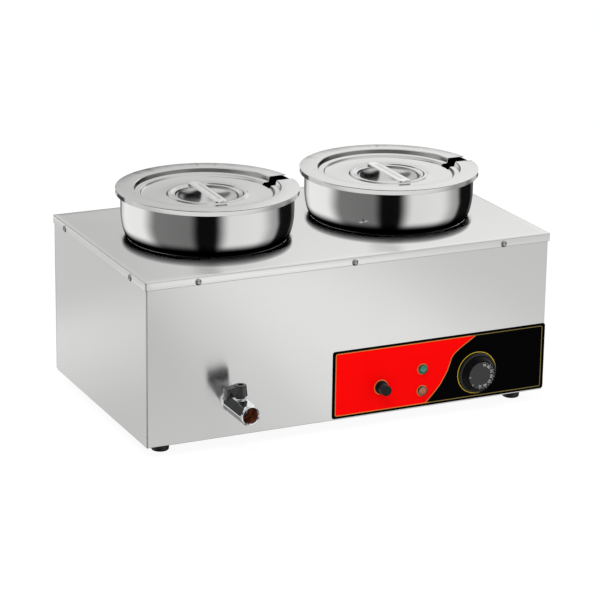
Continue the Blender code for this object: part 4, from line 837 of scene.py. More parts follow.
class BAINMARIE_OT_lids(bpy.types.Operator):
    """Two notched lids with a sunk dish, a bead and a flat flange"""
    bl_idname = "bainmarie.lids"
    bl_label = "Lids"

    def execute(self, context):
        sizes = settings("bain_marie_pots")
        skin, walls = notched(lid_top(), thickness=0.8 * MM, width=21 * MM, root=83.5 * MM, corner=2.0 * MM,
                              count=sizes.segments)
        for side, turn in (("left", math.radians(2.5)), ("right", 0.0)):
            at = middle(f"pot_{side}")
            steel = spun_steel(settings("bain_marie_steel").lid_roughness, at)
            seat, spin = (at.x, at.y, LID_TOP), turned_about_z(turn)
            nets = [net(placed(skin, seat, spin))]
            nets += [(placed(points, seat, spin), faces) for points, faces in walls]
            piece(f"notched_lid_{side}", nets, steel, f"lid_{side}", "polished_steel", f"lid_{side}",
                  sharp=40)
        return {"FINISHED"}


def strap(length, width, thickness, groove_length, groove_width, groove_depth):
    """A flat strap along Y. Its section is a rounded bar whose top dips by depth * cos^1.3 across the groove,
    and fine ribs cross the groove's floor. Near each end the section narrows as the corner's circle does."""
    loop = round_loop(width, thickness, thickness * 0.42, 28, 4)
    corner = 3 * MM
    along = np.concatenate([spread(0, corner), spread(corner, length - corner, steps=190)[1:],
                            spread(length - corner, length)[1:]]) - length / 2
    inward = np.clip(corner - (length / 2 - np.abs(along)), 0, corner)
    narrow = 1 - (corner - np.sqrt(np.maximum(corner ** 2 - inward ** 2, 0))) / (width / 2)
    across, up = loop.T
    window = 1 / (1 + np.exp((np.abs(along) - groove_length / 2) / (0.5 * MM)))
    dip = np.where(up > 0, np.cos(np.clip(across / groove_width, -0.5, 0.5) * HALF_TURN) ** 1.3, 0)
    ribs = 1 - 0.45 * (0.5 + 0.5 * np.cos(along * FULL_TURN / (1.9 * MM)))
    crown = 0.35 * MM * (1 - (2 * across / width) ** 2)
    x = across[None] * narrow[:, None]
    z = (up + crown)[None] - groove_depth * dip[None] * (window * ribs)[:, None]
    y = np.broadcast_to(along[:, None], x.shape)
    return np.stack([x, y, z + thickness / 2], 2)


class BAINMARIE_OT_lid_handles(bpy.types.Operator):
    """Two flat strap handles across the lids' dishes, with a ribbed groove"""
    bl_idname = "bainmarie.lid_handles"
    bl_label = "Lid Handles"

    def execute(self, context):
        steel = polished_steel(settings("bain_marie_steel").polish_roughness)
        bar = strap(length=101 * MM, width=16.5 * MM, thickness=1.6 * MM, groove_length=76 * MM,
                    groove_width=7.4 * MM, groove_depth=1.0 * MM)
        for side, turn in (("left", math.radians(-2.0)), ("right", math.radians(-1.1))):
            at = middle(f"pot_{side}")
            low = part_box(f"lid_handle_{side}")[0].z
            grid = placed(bar, (at.x, at.y, low), turned_about_z(turn))
            piece(f"strap_handle_{side}", [net(grid, around=True, ends=True)], steel, f"lid_{side}",
                  "polished_steel", f"lid_handle_{side}")
        return {"FINISHED"}


# Controls

def on_front(points, x, z, face=PANEL_FACE):
    """Points (across, up, outwards) set on the panel's face at x and height z above the body's lower edge."""
    return placed(points, (x, face, BODY_FOOT + z), FACING_FRONT)


def front_place(node):
    """Where a node's middle lies on the front: x and its height above the body's lower edge."""
    at = middle(node)
    return at.x, at.z - BODY_FOOT


def front_turning(section, segments, *where, around=True):
    """A section turned about an axis square to the front. Around closes a section that leaves the axis free."""
    return net(on_front(spun(section, segments), *where), along=True, around=around)


# measured places on the line that divides red from black, as (x, height above the body's lower edge)
DIVIDE = np.array([(182.5, 89.6), (178.4, 87.2), (147.5, 66.4), (140.2, 52.3), (136.9, 43.2), (130.5, 32.1),
                   (126.4, 25.4), (113.1, 10.8), (105.9, 4.1), (102.5, 1.0)]) * MM


def divide_at(heights):
    """How far right the red field reaches at each height, on a smooth path through the measured places."""
    path = smooth_through(DIVIDE)[::-1]
    return np.interp(heights, path[:, 1], path[:, 0])


def red_field(left, low, high, corner):
    """A thin slab from the left border to the divide: each row is a flat loop at one height, its left end
    follows the corner's circle and its right end the divide."""
    heights = spread(low, low + corner, high - corner, high, steps=14)
    inward = np.maximum(np.maximum(low + corner - heights, heights - high + corner), 0)
    start = left + corner - np.sqrt(np.maximum(corner ** 2 - inward ** 2, 0))
    end = divide_at(heights)
    share = np.linspace(0, 1, 12)
    across = start[:, None] + (end - start)[:, None] * share
    up = np.broadcast_to(heights[:, None], across.shape)
    top = np.stack([across, up, np.full_like(across, 0.05 * MM)], 2)
    base = np.stack([across, up, np.full_like(across, 0.01 * MM)], 2)
    return np.concatenate([top, base[:, ::-1]], 1)


def printed_line(width, height=0.08 * MM):
    half, base = width / 2, 0.01 * MM
    return np.array([(-half, base), (-half, height), (half, height), (half, base)])


def circle(radius, steps=96):
    angles = round_angles(steps)
    return radius * np.stack([np.cos(angles), np.sin(angles)], 1)


def printed_net(path, line):
    """A printed line along an open path on the panel."""
    return net(on_front(carried(path, line), 0, 0), around=True, ends=True)


class BAINMARIE_OT_panel(bpy.types.Operator):
    """Black overlay panel with its red field, gold border, divide and rings"""
    bl_idname = "bainmarie.panel"
    bl_label = "Control Panel"

    def execute(self, context):
        sizes = settings("bain_marie_print")
        low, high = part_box("control_panel")
        width, height = high.x - low.x, high.z - low.z
        film = printed("black overlay film", "#020202", 0.02)
        loop = round_loop(width, height, 3.5 * MM, 1, 8)
        slab = pillow(loop, low.y - high.y, 0.0, edge=0.25 * MM)
        at = (low.x + high.x) / 2
        piece("overlay_film", [net(on_front(slab, at, height / 2), around=True, ends=True)], film, "housing",
              "panel_film", "control_panel")
        red = printed("red screen print", sizes.red, 0.03)
        inset, corner = sizes.border, 2.2 * MM
        field = red_field(low.x + sizes.side_border, inset, height - inset, corner)
        piece("red_field", [net(on_front(field, 0, 0), around=True, ends=True)], red, "housing", "panel_film")
        border = round_loop(width - 2 * sizes.side_border, height - 2 * inset, corner, 40, 8)
        border = border + (at, height / 2)
        near_red = border[:, 0] < divide_at(border[:, 1])
        line = printed_line(sizes.line)
        first = np.argmax(near_red & ~np.roll(near_red, 1))
        border, near_red = np.roll(border, -first, 0), np.roll(near_red, -first)
        count = near_red.sum()
        warm, olive = gold_ink("gold ink on red", "#D98A38"), gold_ink("gold ink on black", "#84743A")
        yellow = printed("yellow ring print", "#CDB02C", 0.2)
        left = printed_net(border[:count + 1], line)
        right = printed_net(np.vstack([border[count:], border[:1]]), line)
        inside = smooth_through(DIVIDE)
        inside = inside[(inside[:, 1] > inset - 0.3 * MM) & (inside[:, 1] < height - inset + 0.3 * MM)]
        divide = printed_net(inside, printed_line(sizes.line, 0.1 * MM))
        rings = []
        for node, radius in (("fuse_holder", 9.5), ("green_lamp_body", 7.0), ("amber_lamp_body", 7.0)):
            ring = carried(circle(radius * MM), printed_line(0.9 * MM, 0.12 * MM), closed=True)
            rings.append(net(on_front(ring, *front_place(node)), along=True, around=True))
        piece("gold_print_on_red", [left, divide, *rings], warm, "housing", "panel_film")
        ring = carried(circle(27.9 * MM, 144), printed_line(1.05 * MM, 0.12 * MM), closed=True)
        ring = net(on_front(ring, *front_place("thermostat_knob")), along=True, around=True)
        piece("yellow_knob_ring", [ring], yellow, "housing", "panel_film")
        piece("gold_print_on_black", [right], olive, "housing", "panel_film")
        return {"FINISHED"}


def numeral_net(text, size, at, turn, rise):
    """One number as a flat mesh with a little thickness, turned and set on the knob's face."""
    curve = bpy.data.curves.new("numeral", "FONT")
    curve.body = text
    curve.size = size
    curve.align_x = "CENTER"
    curve.align_y = "CENTER"
    curve.extrude = 0.04 * MM
    curve.resolution_u = 3
    item = bpy.data.objects.new("numeral", curve)
    bpy.context.scene.collection.objects.link(item)
    seen = item.evaluated_get(bpy.context.evaluated_depsgraph_get())
    mesh = bpy.data.meshes.new_from_object(seen)
    points = mesh_points(mesh)
    faces = [list(face.vertices) for face in mesh.polygons]
    bpy.data.objects.remove(item)
    bpy.data.meshes.remove(mesh)
    return placed(points, (*at, rise), turned_about_z(turn)), faces


def clock(radius, hour_angle):
    """A place on a dial: hour_angle is clockwise from the top."""
    return radius * math.sin(hour_angle), radius * math.cos(hour_angle)


class BAINMARIE_OT_knob(bpy.types.Operator):
    """Thermostat knob with its flange, numbered face and marks"""
    bl_idname = "bainmarie.knob"
    bl_label = "Knob"

    def execute(self, context):
        black = moulded("moulded black phenolic", "#060606", 0.42, 0.7 * MM, 0.08 * MM, 0.06)
        where = front_place("thermostat_knob")
        body = filleted([(0, 14.0), (19.7, 14.0), (23.0, 4.4), (26.4, 4.0), (26.4, 1.0), (3.3, 1.0),
                         (3.3, 11.5), (0, 11.5)], (0.9, 0.8, 0.8, 0.3, 0.2, 0.2), 6) * MM
        piece("dial_knob", [front_turning(body, 120, *where, around=False)], black, "knob", "black_phenolic",
              "thermostat_knob")
        skirt = filleted([(24.2, 4.5), (26.3, 4.25), (26.3, 3.9), (24.2, 3.9)], (0.15, 0.1), 3) * MM
        grey = moulded("satin grey skirt enamel", "#2A2A2A", 0.5, 0.5 * MM, 0.04 * MM, 0.15)
        piece("knob_skirt", [front_turning(skirt, 120, *where)], grey, "knob", "black_phenolic")
        face = filleted([(0, 14.12), (18.3, 14.12), (18.5, 13.9), (0, 13.9)], (0.15, 0.05), 3) * MM
        plate = moulded("satin dial plate", "#3B3B3B", 0.5, 0.5 * MM, 0.03 * MM, 0.12)
        piece("dial_face", [front_turning(face, 120, *where, around=False)], plate, "knob", "black_phenolic")
        ink = printed("white dial print", "#BFBFBF", 0.2)
        top = 14.15 * MM
        first, apart = 187, 29
        marks = []
        for step in range(7):
            angle = math.radians(first - apart * step)
            marks.append(numeral_net(str(30 + 10 * step), 5.0 * MM, clock(14.2 * MM, angle), -angle, top))
            marks.append(mark_net(0.5 * MM, 1.4 * MM, clock(18.0 * MM, angle), -angle, top))
            if step < 6:
                between = math.radians(first - apart * (step + 0.5))
                marks.append(mark_net(0.7 * MM, 0.7 * MM, clock(17.6 * MM, between), -between, top))
        for degrees, length in ((228, 2.2), (268, 2.6)):
            angle = math.radians(degrees)
            marks.append(mark_net(0.7 * MM, length * MM, clock(17.0 * MM, angle), -angle, top))
        nets = [(on_front(points, *where), faces) for points, faces in marks]
        piece("dial_marks", nets, ink, "knob", "black_phenolic")
        return {"FINISHED"}


def mark_net(width, length, at, turn, rise):
    """A short printed bar."""
    bar = stacked(np.stack([round_loop(width, length, width * 0.3, 1, 2)] * 2), [-0.02 * MM, 0.04 * MM])
    return net(placed(bar, (*at, rise), turned_about_z(turn)), around=True, ends=True)


class BAINMARIE_OT_lamps(bpy.types.Operator):
    """Green and amber indicator lamps: black bezel, domed lens"""
    bl_idname = "bainmarie.lamps"
    bl_label = "Lamps"

    def execute(self, context):
        bezel = moulded("moulded black nylon", "#0A0A0A", 0.3, 0.6 * MM, 0.06 * MM)
        colours = {"green": "#158468", "amber": "#B06B3C"}
        ring = filleted([(5.5, 0.9), (5.5, 2.6), (6.4, 2.6), (6.4, 0.3), (5.0, 0.3), (5.0, 0.9)],
                        (0.2, 0.4, 0.1, 0.1), 4) * MM
        dome_t = np.linspace(0, HALF_TURN / 2, 40)
        ridges = {"green": 0.0, "amber": 0.28}
        for colour in ("green", "amber"):
            crown = 1.6 + 2.2 * np.cos(dome_t) + ridges[colour] * np.cos(dome_t * 10)
            dome = np.vstack([np.stack([5.3 * np.sin(dome_t), crown], 1), [(5.3, 1.2), (0, 1.2)]]) * MM
            where = front_place(f"{colour}_lamp_body")
            piece(f"{colour}_bezel", [front_turning(ring, 64, *where)], bezel, "housing", "black_nylon",
                  f"{colour}_lamp_body")
            piece(f"{colour}_lens", [front_turning(dome, 64, *where, around=False)],
                  lens(f"{colour} acrylic lens", colours[colour]), "housing", f"{colour}_lens",
                  f"{colour}_lamp_lens")
        return {"FINISHED"}


class BAINMARIE_OT_fuse(bpy.types.Operator):
    """Panel fuse holder and its slotted cap"""
    bl_idname = "bainmarie.fuse"
    bl_label = "Fuse Holder"

    def execute(self, context):
        black = moulded("moulded black phenolic of the fuse", "#0A0A0A", 0.46, 0.6 * MM, 0.06 * MM, 0.06)
        where = front_place("fuse_holder")
        holder = filleted([(4.9, -24), (4.9, 7.5), (7.2, 7.5), (7.2, 4.2), (8.7, 3.6), (8.7, 0.3), (6.3, 0.3),
                           (6.3, -24)], (0.3, 0.5, 0.3, 0.5, 0.1, 0.1), 4) * MM
        piece("fuse_base", [front_turning(holder, 64, *where)], black, "housing", "black_phenolic",
              "fuse_holder")
        cap = np.vstack([filleted([(0, 17.2), (6.9, 17.2), (7.1, 7.8), (4.6, 7.8), (4.6, 2.6), (2.8, 2.6),
                                   (2.8, 7.6)], (0.8, 0.3, 0.1, 0.2, 0.1), 4), [(0, 7.6)]]) * MM
        body = raw_mesh("slotted_cap", [net(spun(cap, 64), along=True)])
        slot = stacked(np.stack([round_loop(1.4 * MM, 16 * MM, 0.2 * MM)] * 2), [15.4 * MM, 19 * MM])
        slot = raw_mesh("slot", [net(placed(slot, (0, 0, 0), turned_about_z(-0.12)), around=True, ends=True)])
        body = carved(body, [slot])
        set_points(body, on_front(mesh_points(body), *where))
        grey = moulded("moulded black phenolic of the cap", "#1E1E1E", 0.5, 0.6 * MM, 0.06 * MM, 0.1)
        shown(body, grey, "fuse_cap", "black_phenolic", "fuse_cap")
        return {"FINISHED"}


# Drain tap

def hex_radius(angles, flats, power=42):
    """A hexagon with slightly rounded corners and a flat top: half its width across the flats over
    (sum of cos^p to each face)^(1/p)."""
    faces = (np.arange(6) + 0.5) * HALF_TURN / 3
    facing = np.maximum(np.cos(angles[:, None] - faces), 0) ** power
    return flats / 2 / facing.sum(1) ** (1 / power)


class BAINMARIE_OT_tap(bpy.types.Operator):
    """Ball valve drain tap: washer, collar, hexagonal chrome body, brass throat and black lever"""
    bl_idname = "bainmarie.tap"
    bl_label = "Drain Tap"

    def execute(self, context):
        plate = chrome()
        where = (*front_place("valve_end"), FRONT_WALL)
        segments = 240
        angles = round_angles(segments)
        # where the body is turned round, as (distance out from the wall, largest radius) in mm
        limits = np.array([(6.1, 12.4), (6.2, 12.6), (6.9, 13.2), (8.0, 13.75), (9.1, 14.1), (10.5, 20),
                           (30, 20), (50, 20), (57.0, 20), (58.2, 14.1), (59.2, 13.6), (60.2, 12.7),
                           (61.0, 12.1), (61.4, 11.98), (62.4, 11.95), (62.9, 11.9), (63.0, 11.75)])
        radius = np.minimum(hex_radius(angles, 24.2)[:, None], limits[:, 1])
        shell = turned(radius, angles[:, None], limits[:, 0])
        lip = spun([(11.3, 63.0), (10.35, 61.8), (10.3, 59.6)], segments)
        back = spun([(11.0, 6.1)], segments)
        body = np.concatenate([back, shell, lip], 1) * MM
        piece("hexagonal_tap_body", [net(on_front(body, *where), along=True)], plate, "housing", "chrome",
              "valve_body", sharp=24)
        t = np.linspace(0, 1, 120)
        thread = np.stack([10.25 + 0.28 * np.cos(t * FULL_TURN * 8), 59.8 - 13.8 * t], 1)
        end = filleted([(10.2, 46), (6.2, 45), (6.2, 38), (11.0, 38)], 0.6, 4)
        bore = np.vstack([[(11.0, 59.8)], thread, end]) * MM
        # the throat's brass is tarnished and also darker than its metal: painted shade inside the bore
        brass = bare_brass("tarnished brass with painted shade", "#8A4A30")
        piece("tap_throat", [front_turning(bore, 96, *where)], brass, "housing", "brass")
        collar = filleted([(10.1, 5.8), (13.2, 5.8), (13.2, 1.8), (10.0, 1.8), (10.0, -14), (6.5, -14),
                           (6.5, 19.8), (10.1, 19.8)], (1.1, 1.1, 0.1, 0.3, 0.3, 0.3), 5) * MM
        piece("tap_collar", [front_turning(collar, 96, *where)], plate, "housing", "chrome", "valve_end")
        washer = filleted([(10.3, 1.5), (14.5, 1.5), (14.5, 0.3), (10.3, 0.3)], (0.4, 0.4), 4) * MM
        white = moulded("white washer plastic", "#D8D8D4", 0.4, 0.6 * MM, 0.05 * MM)
        piece("sealing_washer", [front_turning(washer, 72, *where)], white, "housing", "white_plastic",
              "tap_washer")
        self.add_lever(plate)
        recoat(chrome(), "valve_ball", "valve_stem")
        recoat(moulded("white seat plastic", "#E4E4E0", 0.4, 0.6 * MM, 0.05 * MM), "valve_seat_front",
               "valve_seat_back")
        return {"FINISHED"}

    def add_lever(self, plate):
        """Neck, lever with its arch and ribbed grip, and the screw in the hub."""
        stem = middle("lever_screw")
        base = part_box("valve_lever")[0].z
        axis = (stem.x, stem.y, base)
        centre = middle("valve_end").z - base
        neck = filleted([(6.2, centre / MM + 8), (7.6, centre / MM + 11.8), (7.6, -2.2), (5.6, -0.4),
                         (4.1, -0.4)], (0.2, 0.4, 0.6), 4) * MM
        piece("tap_neck", [net(placed(spun(neck, 72), axis))], plate, "housing", "chrome")
        black = moulded("moulded black nylon of the lever", "#0E0E0E", 0.15, 0.6 * MM, 0.04 * MM, 0.6)
        wing = net(placed(lever_wing() * MM, axis), around=True, ends=True)
        hub = np.vstack([[(0, 11.0)], filleted([(3.6, 11.0), (3.6, 14.5), (7.4, 14.5), (7.8, 9), (8.8, 0.3),
                                                (4.2, 0.3)], (0.3, 0.8, 3.0, 0.5), 5)]) * MM
        hub = net(placed(spun(hub, 72), axis), along=True)
        piece("lever_wing", [wing], black, "tap_handle", "black_nylon", "valve_lever", sharp=30)
        piece("lever_hub", [hub], black, "tap_handle", "black_nylon", sharp=30)
        recoat(black, "lever_screw")


def lever_wing():
    """The lever in mm from its hub's base, out along -X. Each station's section has a flat top with shallow
    ribs, an upright band, and a flank that leans in to the underside. The tip is a plate that reaches down
    the full height."""
    edge = 0.5
    x = np.concatenate([[-20.9, -20.75, -20.4], np.linspace(-20.3, -18.9, 6), np.linspace(-18.7, -17.6, 4),
                        np.linspace(-17.2, -6.6, 80), [-5.5, -4.0]])
    top = 14.4 + np.minimum(x + 3, 0) * 0.17
    top = top + 0.05 * np.sin(x / 1.7 * FULL_TURN) * (x < -7.0) * (x > -19.6)
    reach = np.clip((x + 18.9) / 1.3, 0, 1)
    low = -2.0 + 1.6 * reach ** 2 * (3 - 2 * reach)
    half = np.full_like(x, 6.35)
    foot = half - (half - 3.0) * reach
    waist = low + edge + (top - 4.6 - low - edge) * (0.4 + 0.6 * reach)
    shrink = np.zeros_like(x)
    shrink[:3] = (edge, edge * 0.3, 0.0)
    half, foot, top, low = half - shrink, foot - shrink, top - shrink, low + shrink
    zero = np.zeros_like(x)
    right = [(zero, top), (half * 0.5, top), (half - edge, top), (half - edge * 0.3, top - edge * 0.3),
             (half, top - edge), (half, waist), (foot, low + edge), (foot - edge * 0.3, low + edge * 0.3),
             (foot - edge, low), (zero, low)]
    left = [(-y, z) for y, z in right[-2:0:-1]]
    across, up = np.array(right + left).transpose(1, 2, 0)
    lean = 0.13 * np.clip((-16.0 - x) / 2, 0, 1)[:, None] * (up + 2.0)
    return np.stack([x[:, None] + lean, across, up], 2)


class BAINMARIE_OT_fittings(bpy.types.Operator):
    """Cable gland at the back, and finishes of the fittings inside"""
    bl_idname = "bainmarie.fittings"
    bl_label = "Gland and Inner Fittings"

    def execute(self, context):
        nylon = moulded("moulded nylon of the gland", "#121212", 0.42, 0.7 * MM, 0.1 * MM)
        seat = middle("cable_gland")
        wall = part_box("back_panel")[1].y
        angles = round_angles(144)
        outline = distinct(filleted([(4.2, -8), (8.0, -8), (8.0, 0.3), (12.0, 0.3), (12.0, 5.3), (10.6, 5.6),
                                     (10.4, 13.5), (8.6, 20.4), (6.6, 22.3), (4.2, 22.3)],
                                    (0.3, 0.1, 0.3, 0.8, 0.2, 1.5, 2.0, 0.6), 4))
        radius, out = outline.T
        # flutes round the dome, and flats on the flange next to the wall
        flute = 1 - 0.045 * np.clip((out - 6) / 2, 0, 1) * np.clip((20 - out) / 4, 0, 1)
        flange = (out > 0.2) & (out < 5.45) & (radius > 9)
        waves = np.abs(np.sin(angles * 7))[:, None] ** 0.6
        radius = radius * (flute + (1 - flute) * waves)
        radius = np.where(flange, np.minimum(radius, hex_radius(angles, 21.2)[:, None]), radius)
        grid = placed(turned(radius, angles[:, None], out) * MM, (seat.x, wall, seat.z), FACING_BACK)
        piece("fluted_gland", [net(grid, along=True, around=True)], nylon, "housing", "black_nylon",
              "cable_gland", sharp=28)
        ceramic = moulded("glazed white ceramic", "#DEDDD6", 0.25, 1.0 * MM, 0.05 * MM)
        recoat(ceramic, "terminal_block")
        case = moulded("black thermostat case", "#141414", 0.4, 0.8 * MM, 0.1 * MM)
        recoat(case, "thermostat_body", "fuse_nut")
        recoat(bare_brass("yellow brass", "#C9A24E", 0.3), "bulb_gland", "element_bush_inner",
               "element_bush_right")
        recoat(lens("fuse glass", "#D9DEDC"), "fuse_cartridge")
        return {"FINISHED"}


# Studio

def mixed(tree, share, first, second):
    """Two shaders mixed: a share of 0 is the first one."""
    return add_node(tree, "ShaderNodeMixShader", {"Fac": share, 1: (first, 0), 2: (second, 0)})


def bare_material(mesh, name):
    """Gives a mesh a material without nodes, and returns the tree to fill."""
    material = bpy.data.materials.new(name)
    material.use_nodes = True
    material.node_tree.nodes.clear()
    mesh.materials.append(material)
    return material.node_tree


def to_surface(tree, shader, kind="Material"):
    add_node(tree, f"ShaderNodeOutput{kind}", {"Surface": (shader, 0)})


def from_camera(angle):
    """A compass angle round the object as a ramp's place: 0 is towards the camera, right is positive."""
    return angle / 360 + 0.5


# what shiny surfaces mirror, as (degrees round from the camera, right is positive; grey)
LOW_BANDS = [(-180, 0.24), (-160, 0.24), (-148, 0.8), (-136, 1.0), (-98, 1.0), (-69, 0.21), (-24, 0.19),
             (-9, 0.004), (12, 0.004), (34, 0.86), (74, 0.9), (104, 0.42), (116, 0.006), (146, 0.006),
             (156, 0.10), (180, 0.24)]
LEVEL_BANDS = [(-180, 0.5), (-172, 0.12), (-100, 0.02), (-88, 0.4), (-76, 0.43), (-43, 0.25), (-28, 0.14),
               (15, 0.16), (45, 0.21), (67, 0.24), (94, 0.13), (119, 0.1), (140, 0.6), (165, 0.95), (180, 0.5)]
HIGH_BANDS = [(-180, 1.1), (-172, 0.9), (-163, 0.4), (-152, 0.6), (-130, 0.8), (-90, 0.7), (-60, 0.4),
              (-30, 0.15), (25, 0.15), (45, 0.6), (70, 0.6), (100, 0.35), (140, 0.5), (165, 1.0), (180, 1.1)]
OVERHEAD_BANDS = [(-180, 0.85), (-168, 0.2), (-105, 0.2), (-70, 0.85), (180, 0.85)]
# each set with the rise, as the sine of its height, over which it takes the place of the set below it
ZONES = ((LOW_BANDS, -0.95, -0.64), (LEVEL_BANDS, -0.06, 0.02), (HIGH_BANDS, 0.18, 0.30),
         (OVERHEAD_BANDS, 0.4, 0.62))


def studio_world(heading, daylight):
    """White room for the eye and for plain light. What shines mirrors soft bands instead, one set of them
    towards the floor, one level, one above and one overhead, with black straight below."""
    world = bpy.data.worlds.new("white room")
    bpy.context.scene.world = world
    world.use_nodes = True
    world.cycles.sampling_method = "NONE"
    tree = world.node_tree
    tree.nodes.clear()
    way = add_node(tree, "ShaderNodeTexCoord")
    right = vector_math(tree, "DOT_PRODUCT", (way, "Generated"), (math.cos(heading), -math.sin(heading), 0.0))
    near = vector_math(tree, "DOT_PRODUCT", (way, "Generated"), (-math.sin(heading), -math.cos(heading), 0.0))
    angle = number_math(tree, "ARCTAN2", (right, "Value"), (near, "Value"))
    place = number_math(tree, "MULTIPLY_ADD", angle, 1 / FULL_TURN, 0.5)
    up = add_node(tree, "ShaderNodeSeparateXYZ", {"Vector": (way, "Generated")})
    seen = shade(0.004)
    for stops, start, end in ZONES:
        bands = ramp_node(tree, place, [(from_camera(degrees), grey) for degrees, grey in stops])
        rise = mapped(tree, (up, "Z"), start, end, interpolation_type="SMOOTHSTEP")
        seen = colour_mix(tree, rise, seen, bands)
    ray = add_node(tree, "ShaderNodeLightPath")
    plain = add_node(tree, "ShaderNodeBackground", {"Color": shade(1.0), "Strength": daylight})
    white = add_node(tree, "ShaderNodeBackground", {"Color": shade(1.0), "Strength": 1.0})
    shine = add_node(tree, "ShaderNodeBackground", {"Color": seen, "Strength": 1.0})
    lit = mixed(tree, (ray, "Is Glossy Ray"), plain, shine)
    through = number_math(tree, "MAXIMUM", (ray, "Is Camera Ray"), (ray, "Is Transmission Ray"))
    to_surface(tree, mixed(tree, through, lit, white), "World")


def studio_floor():
    """A wide pale table top that shows white to the eye and keeps a faint shadow."""
    section = [(radius, 0.0) for radius in (0.0, 0.4, 1.0, 3.0, 9.0)]
    mesh = raw_mesh("studio_floor", [net(placed(spun(section, 48), (0, 0, -0.2 * MM)), along=True)])
    floor = bpy.data.objects.new("studio_floor", mesh)
    bpy.context.scene.collection.objects.link(floor)
    tree = bare_material(mesh, "white table top")
    ray = add_node(tree, "ShaderNodeLightPath")
    matt = add_node(tree, "ShaderNodeBsdfDiffuse", {"Color": shade(0.1)})
    glow = add_node(tree, "ShaderNodeEmission", {"Color": shade(1.0), "Strength": 0.93})
    eye = add_node(tree, "ShaderNodeAddShader", {0: (matt, 0), 1: (glow, 0)})
    plain = add_node(tree, "ShaderNodeBsdfDiffuse", {"Color": shade(0.8)})
    to_surface(tree, mixed(tree, (ray, "Is Camera Ray"), plain, eye))
    floor.visible_glossy = False


def stage_only_shine(item):
    """Puts an item in the studio that only shiny surfaces see."""
    bpy.context.scene.collection.objects.link(item)
    for kind in ("camera", "diffuse", "transmission", "volume_scatter", "shadow"):
        setattr(item, f"visible_{kind}", False)


def reflector(name, low, high, stops, grazing, reach, axis=0):
    """A flat card between two opposite corners that only shiny surfaces nearer than reach to its plane see.
    Its glow changes along one axis: each stop is (place, brightness). It is clear to rays that meet it more
    squarely than grazing says, where 0 is square on and 1 is along the card."""
    grid = np.array([[(x, low[1], low[2]), (x, high[1], high[2])] for x in (low[0], high[0])])
    mesh = raw_mesh(name, [net(grid)])
    tree = bare_material(mesh, f"glow of {name}")
    place = add_node(tree, "ShaderNodeTexCoord")
    along = add_node(tree, "ShaderNodeSeparateXYZ", {"Vector": (place, "Object")})
    start, end = low[axis], high[axis]
    part = mapped(tree, (along, "XYZ"[axis]), start, end)
    bands = ramp_node(tree, part, [((at - start) / (end - start), grey) for at, grey in stops])
    glow = add_node(tree, "ShaderNodeEmission", {"Color": bands, "Strength": 1.0})
    tilt = add_node(tree, "ShaderNodeLayerWeight", {"Blend": 0.5})
    slanting = mapped(tree, (tilt, "Facing"), grazing, grazing + 0.05)
    # the ray's length times the cosine of its tilt is its start's distance from the card's plane
    ray = add_node(tree, "ShaderNodeLightPath")
    cosine = number_math(tree, "SUBTRACT", 1.0, (tilt, "Facing"))
    distance = number_math(tree, "MULTIPLY", cosine, (ray, "Ray Length"))
    near = number_math(tree, "LESS_THAN", distance, reach)
    both = number_math(tree, "MULTIPLY", slanting, near)
    clear = add_node(tree, "ShaderNodeBsdfTransparent")
    to_surface(tree, mixed(tree, both, clear, glow))
    stage_only_shine(bpy.data.objects.new(name, mesh))


def painted_shade_sheet(name, grid, centre, fade, along=False):
    """A black sheet of painted shade round a pot that only shiny surfaces less than 30 to 40 mm away see. It
    thins out over a range of heights above the cover."""
    mesh = raw_mesh(name, [net(placed(grid, (centre.x, centre.y, COVER_HIGH.z)), along=along)])
    tree = bare_material(mesh, "painted shade sheet")
    place = add_node(tree, "ShaderNodeTexCoord")
    up = add_node(tree, "ShaderNodeSeparateXYZ", {"Vector": (place, "Object")})
    thin = mapped(tree, (up, "Z"), COVER_HIGH.z + fade[0], COVER_HIGH.z + fade[1],
                  interpolation_type="SMOOTHSTEP")
    ray = add_node(tree, "ShaderNodeLightPath")
    far = mapped(tree, (ray, "Ray Length"), 30 * MM, 40 * MM)
    either = number_math(tree, "MAXIMUM", thin, far)
    black = add_node(tree, "ShaderNodeBsdfDiffuse", {"Color": shade(0.0)})
    clear = add_node(tree, "ShaderNodeBsdfTransparent")
    to_surface(tree, mixed(tree, either, black, clear))
    stage_only_shine(bpy.data.objects.new(mesh.name, mesh))


def pot_painted_shade(side, wall):
    """Painted shade round each pot. Round the foot a black sheet follows the shoulder closely, so the pot fades
    to black where it meets the cover and the cover mirrors that. Behind the lid's notch another paints the
    pot's inside dark."""
    at = middle(f"pot_{side}")
    gap = 0.4 * MM
    shoulder = shoulder_curve(wall + gap, 0.4 * HALF_TURN, 0.08 * HALF_TURN, 20)
    shoulder = np.vstack([[(wall - 12.2 * MM, -14 * MM)], shoulder])
    painted_shade_sheet(f"foot_painted_shade_{side}", spun(shoulder, 96), at, (6 * MM, 18 * MM), along=True)
    inner = np.array([(119.0, 62.4), (111.2, 62.4), (110.0, 60.5), (110.0, 34.0)]) * MM
    # this sheet of painted shade stays black over its whole height, and only the steps beside the notch are
    # made
    all_black, beside_notch = (200 * MM, 300 * MM), np.arange(-5, 16)
    painted_shade_sheet(f"notch_painted_shade_{side}", spun(inner, 180)[beside_notch], at, all_black)


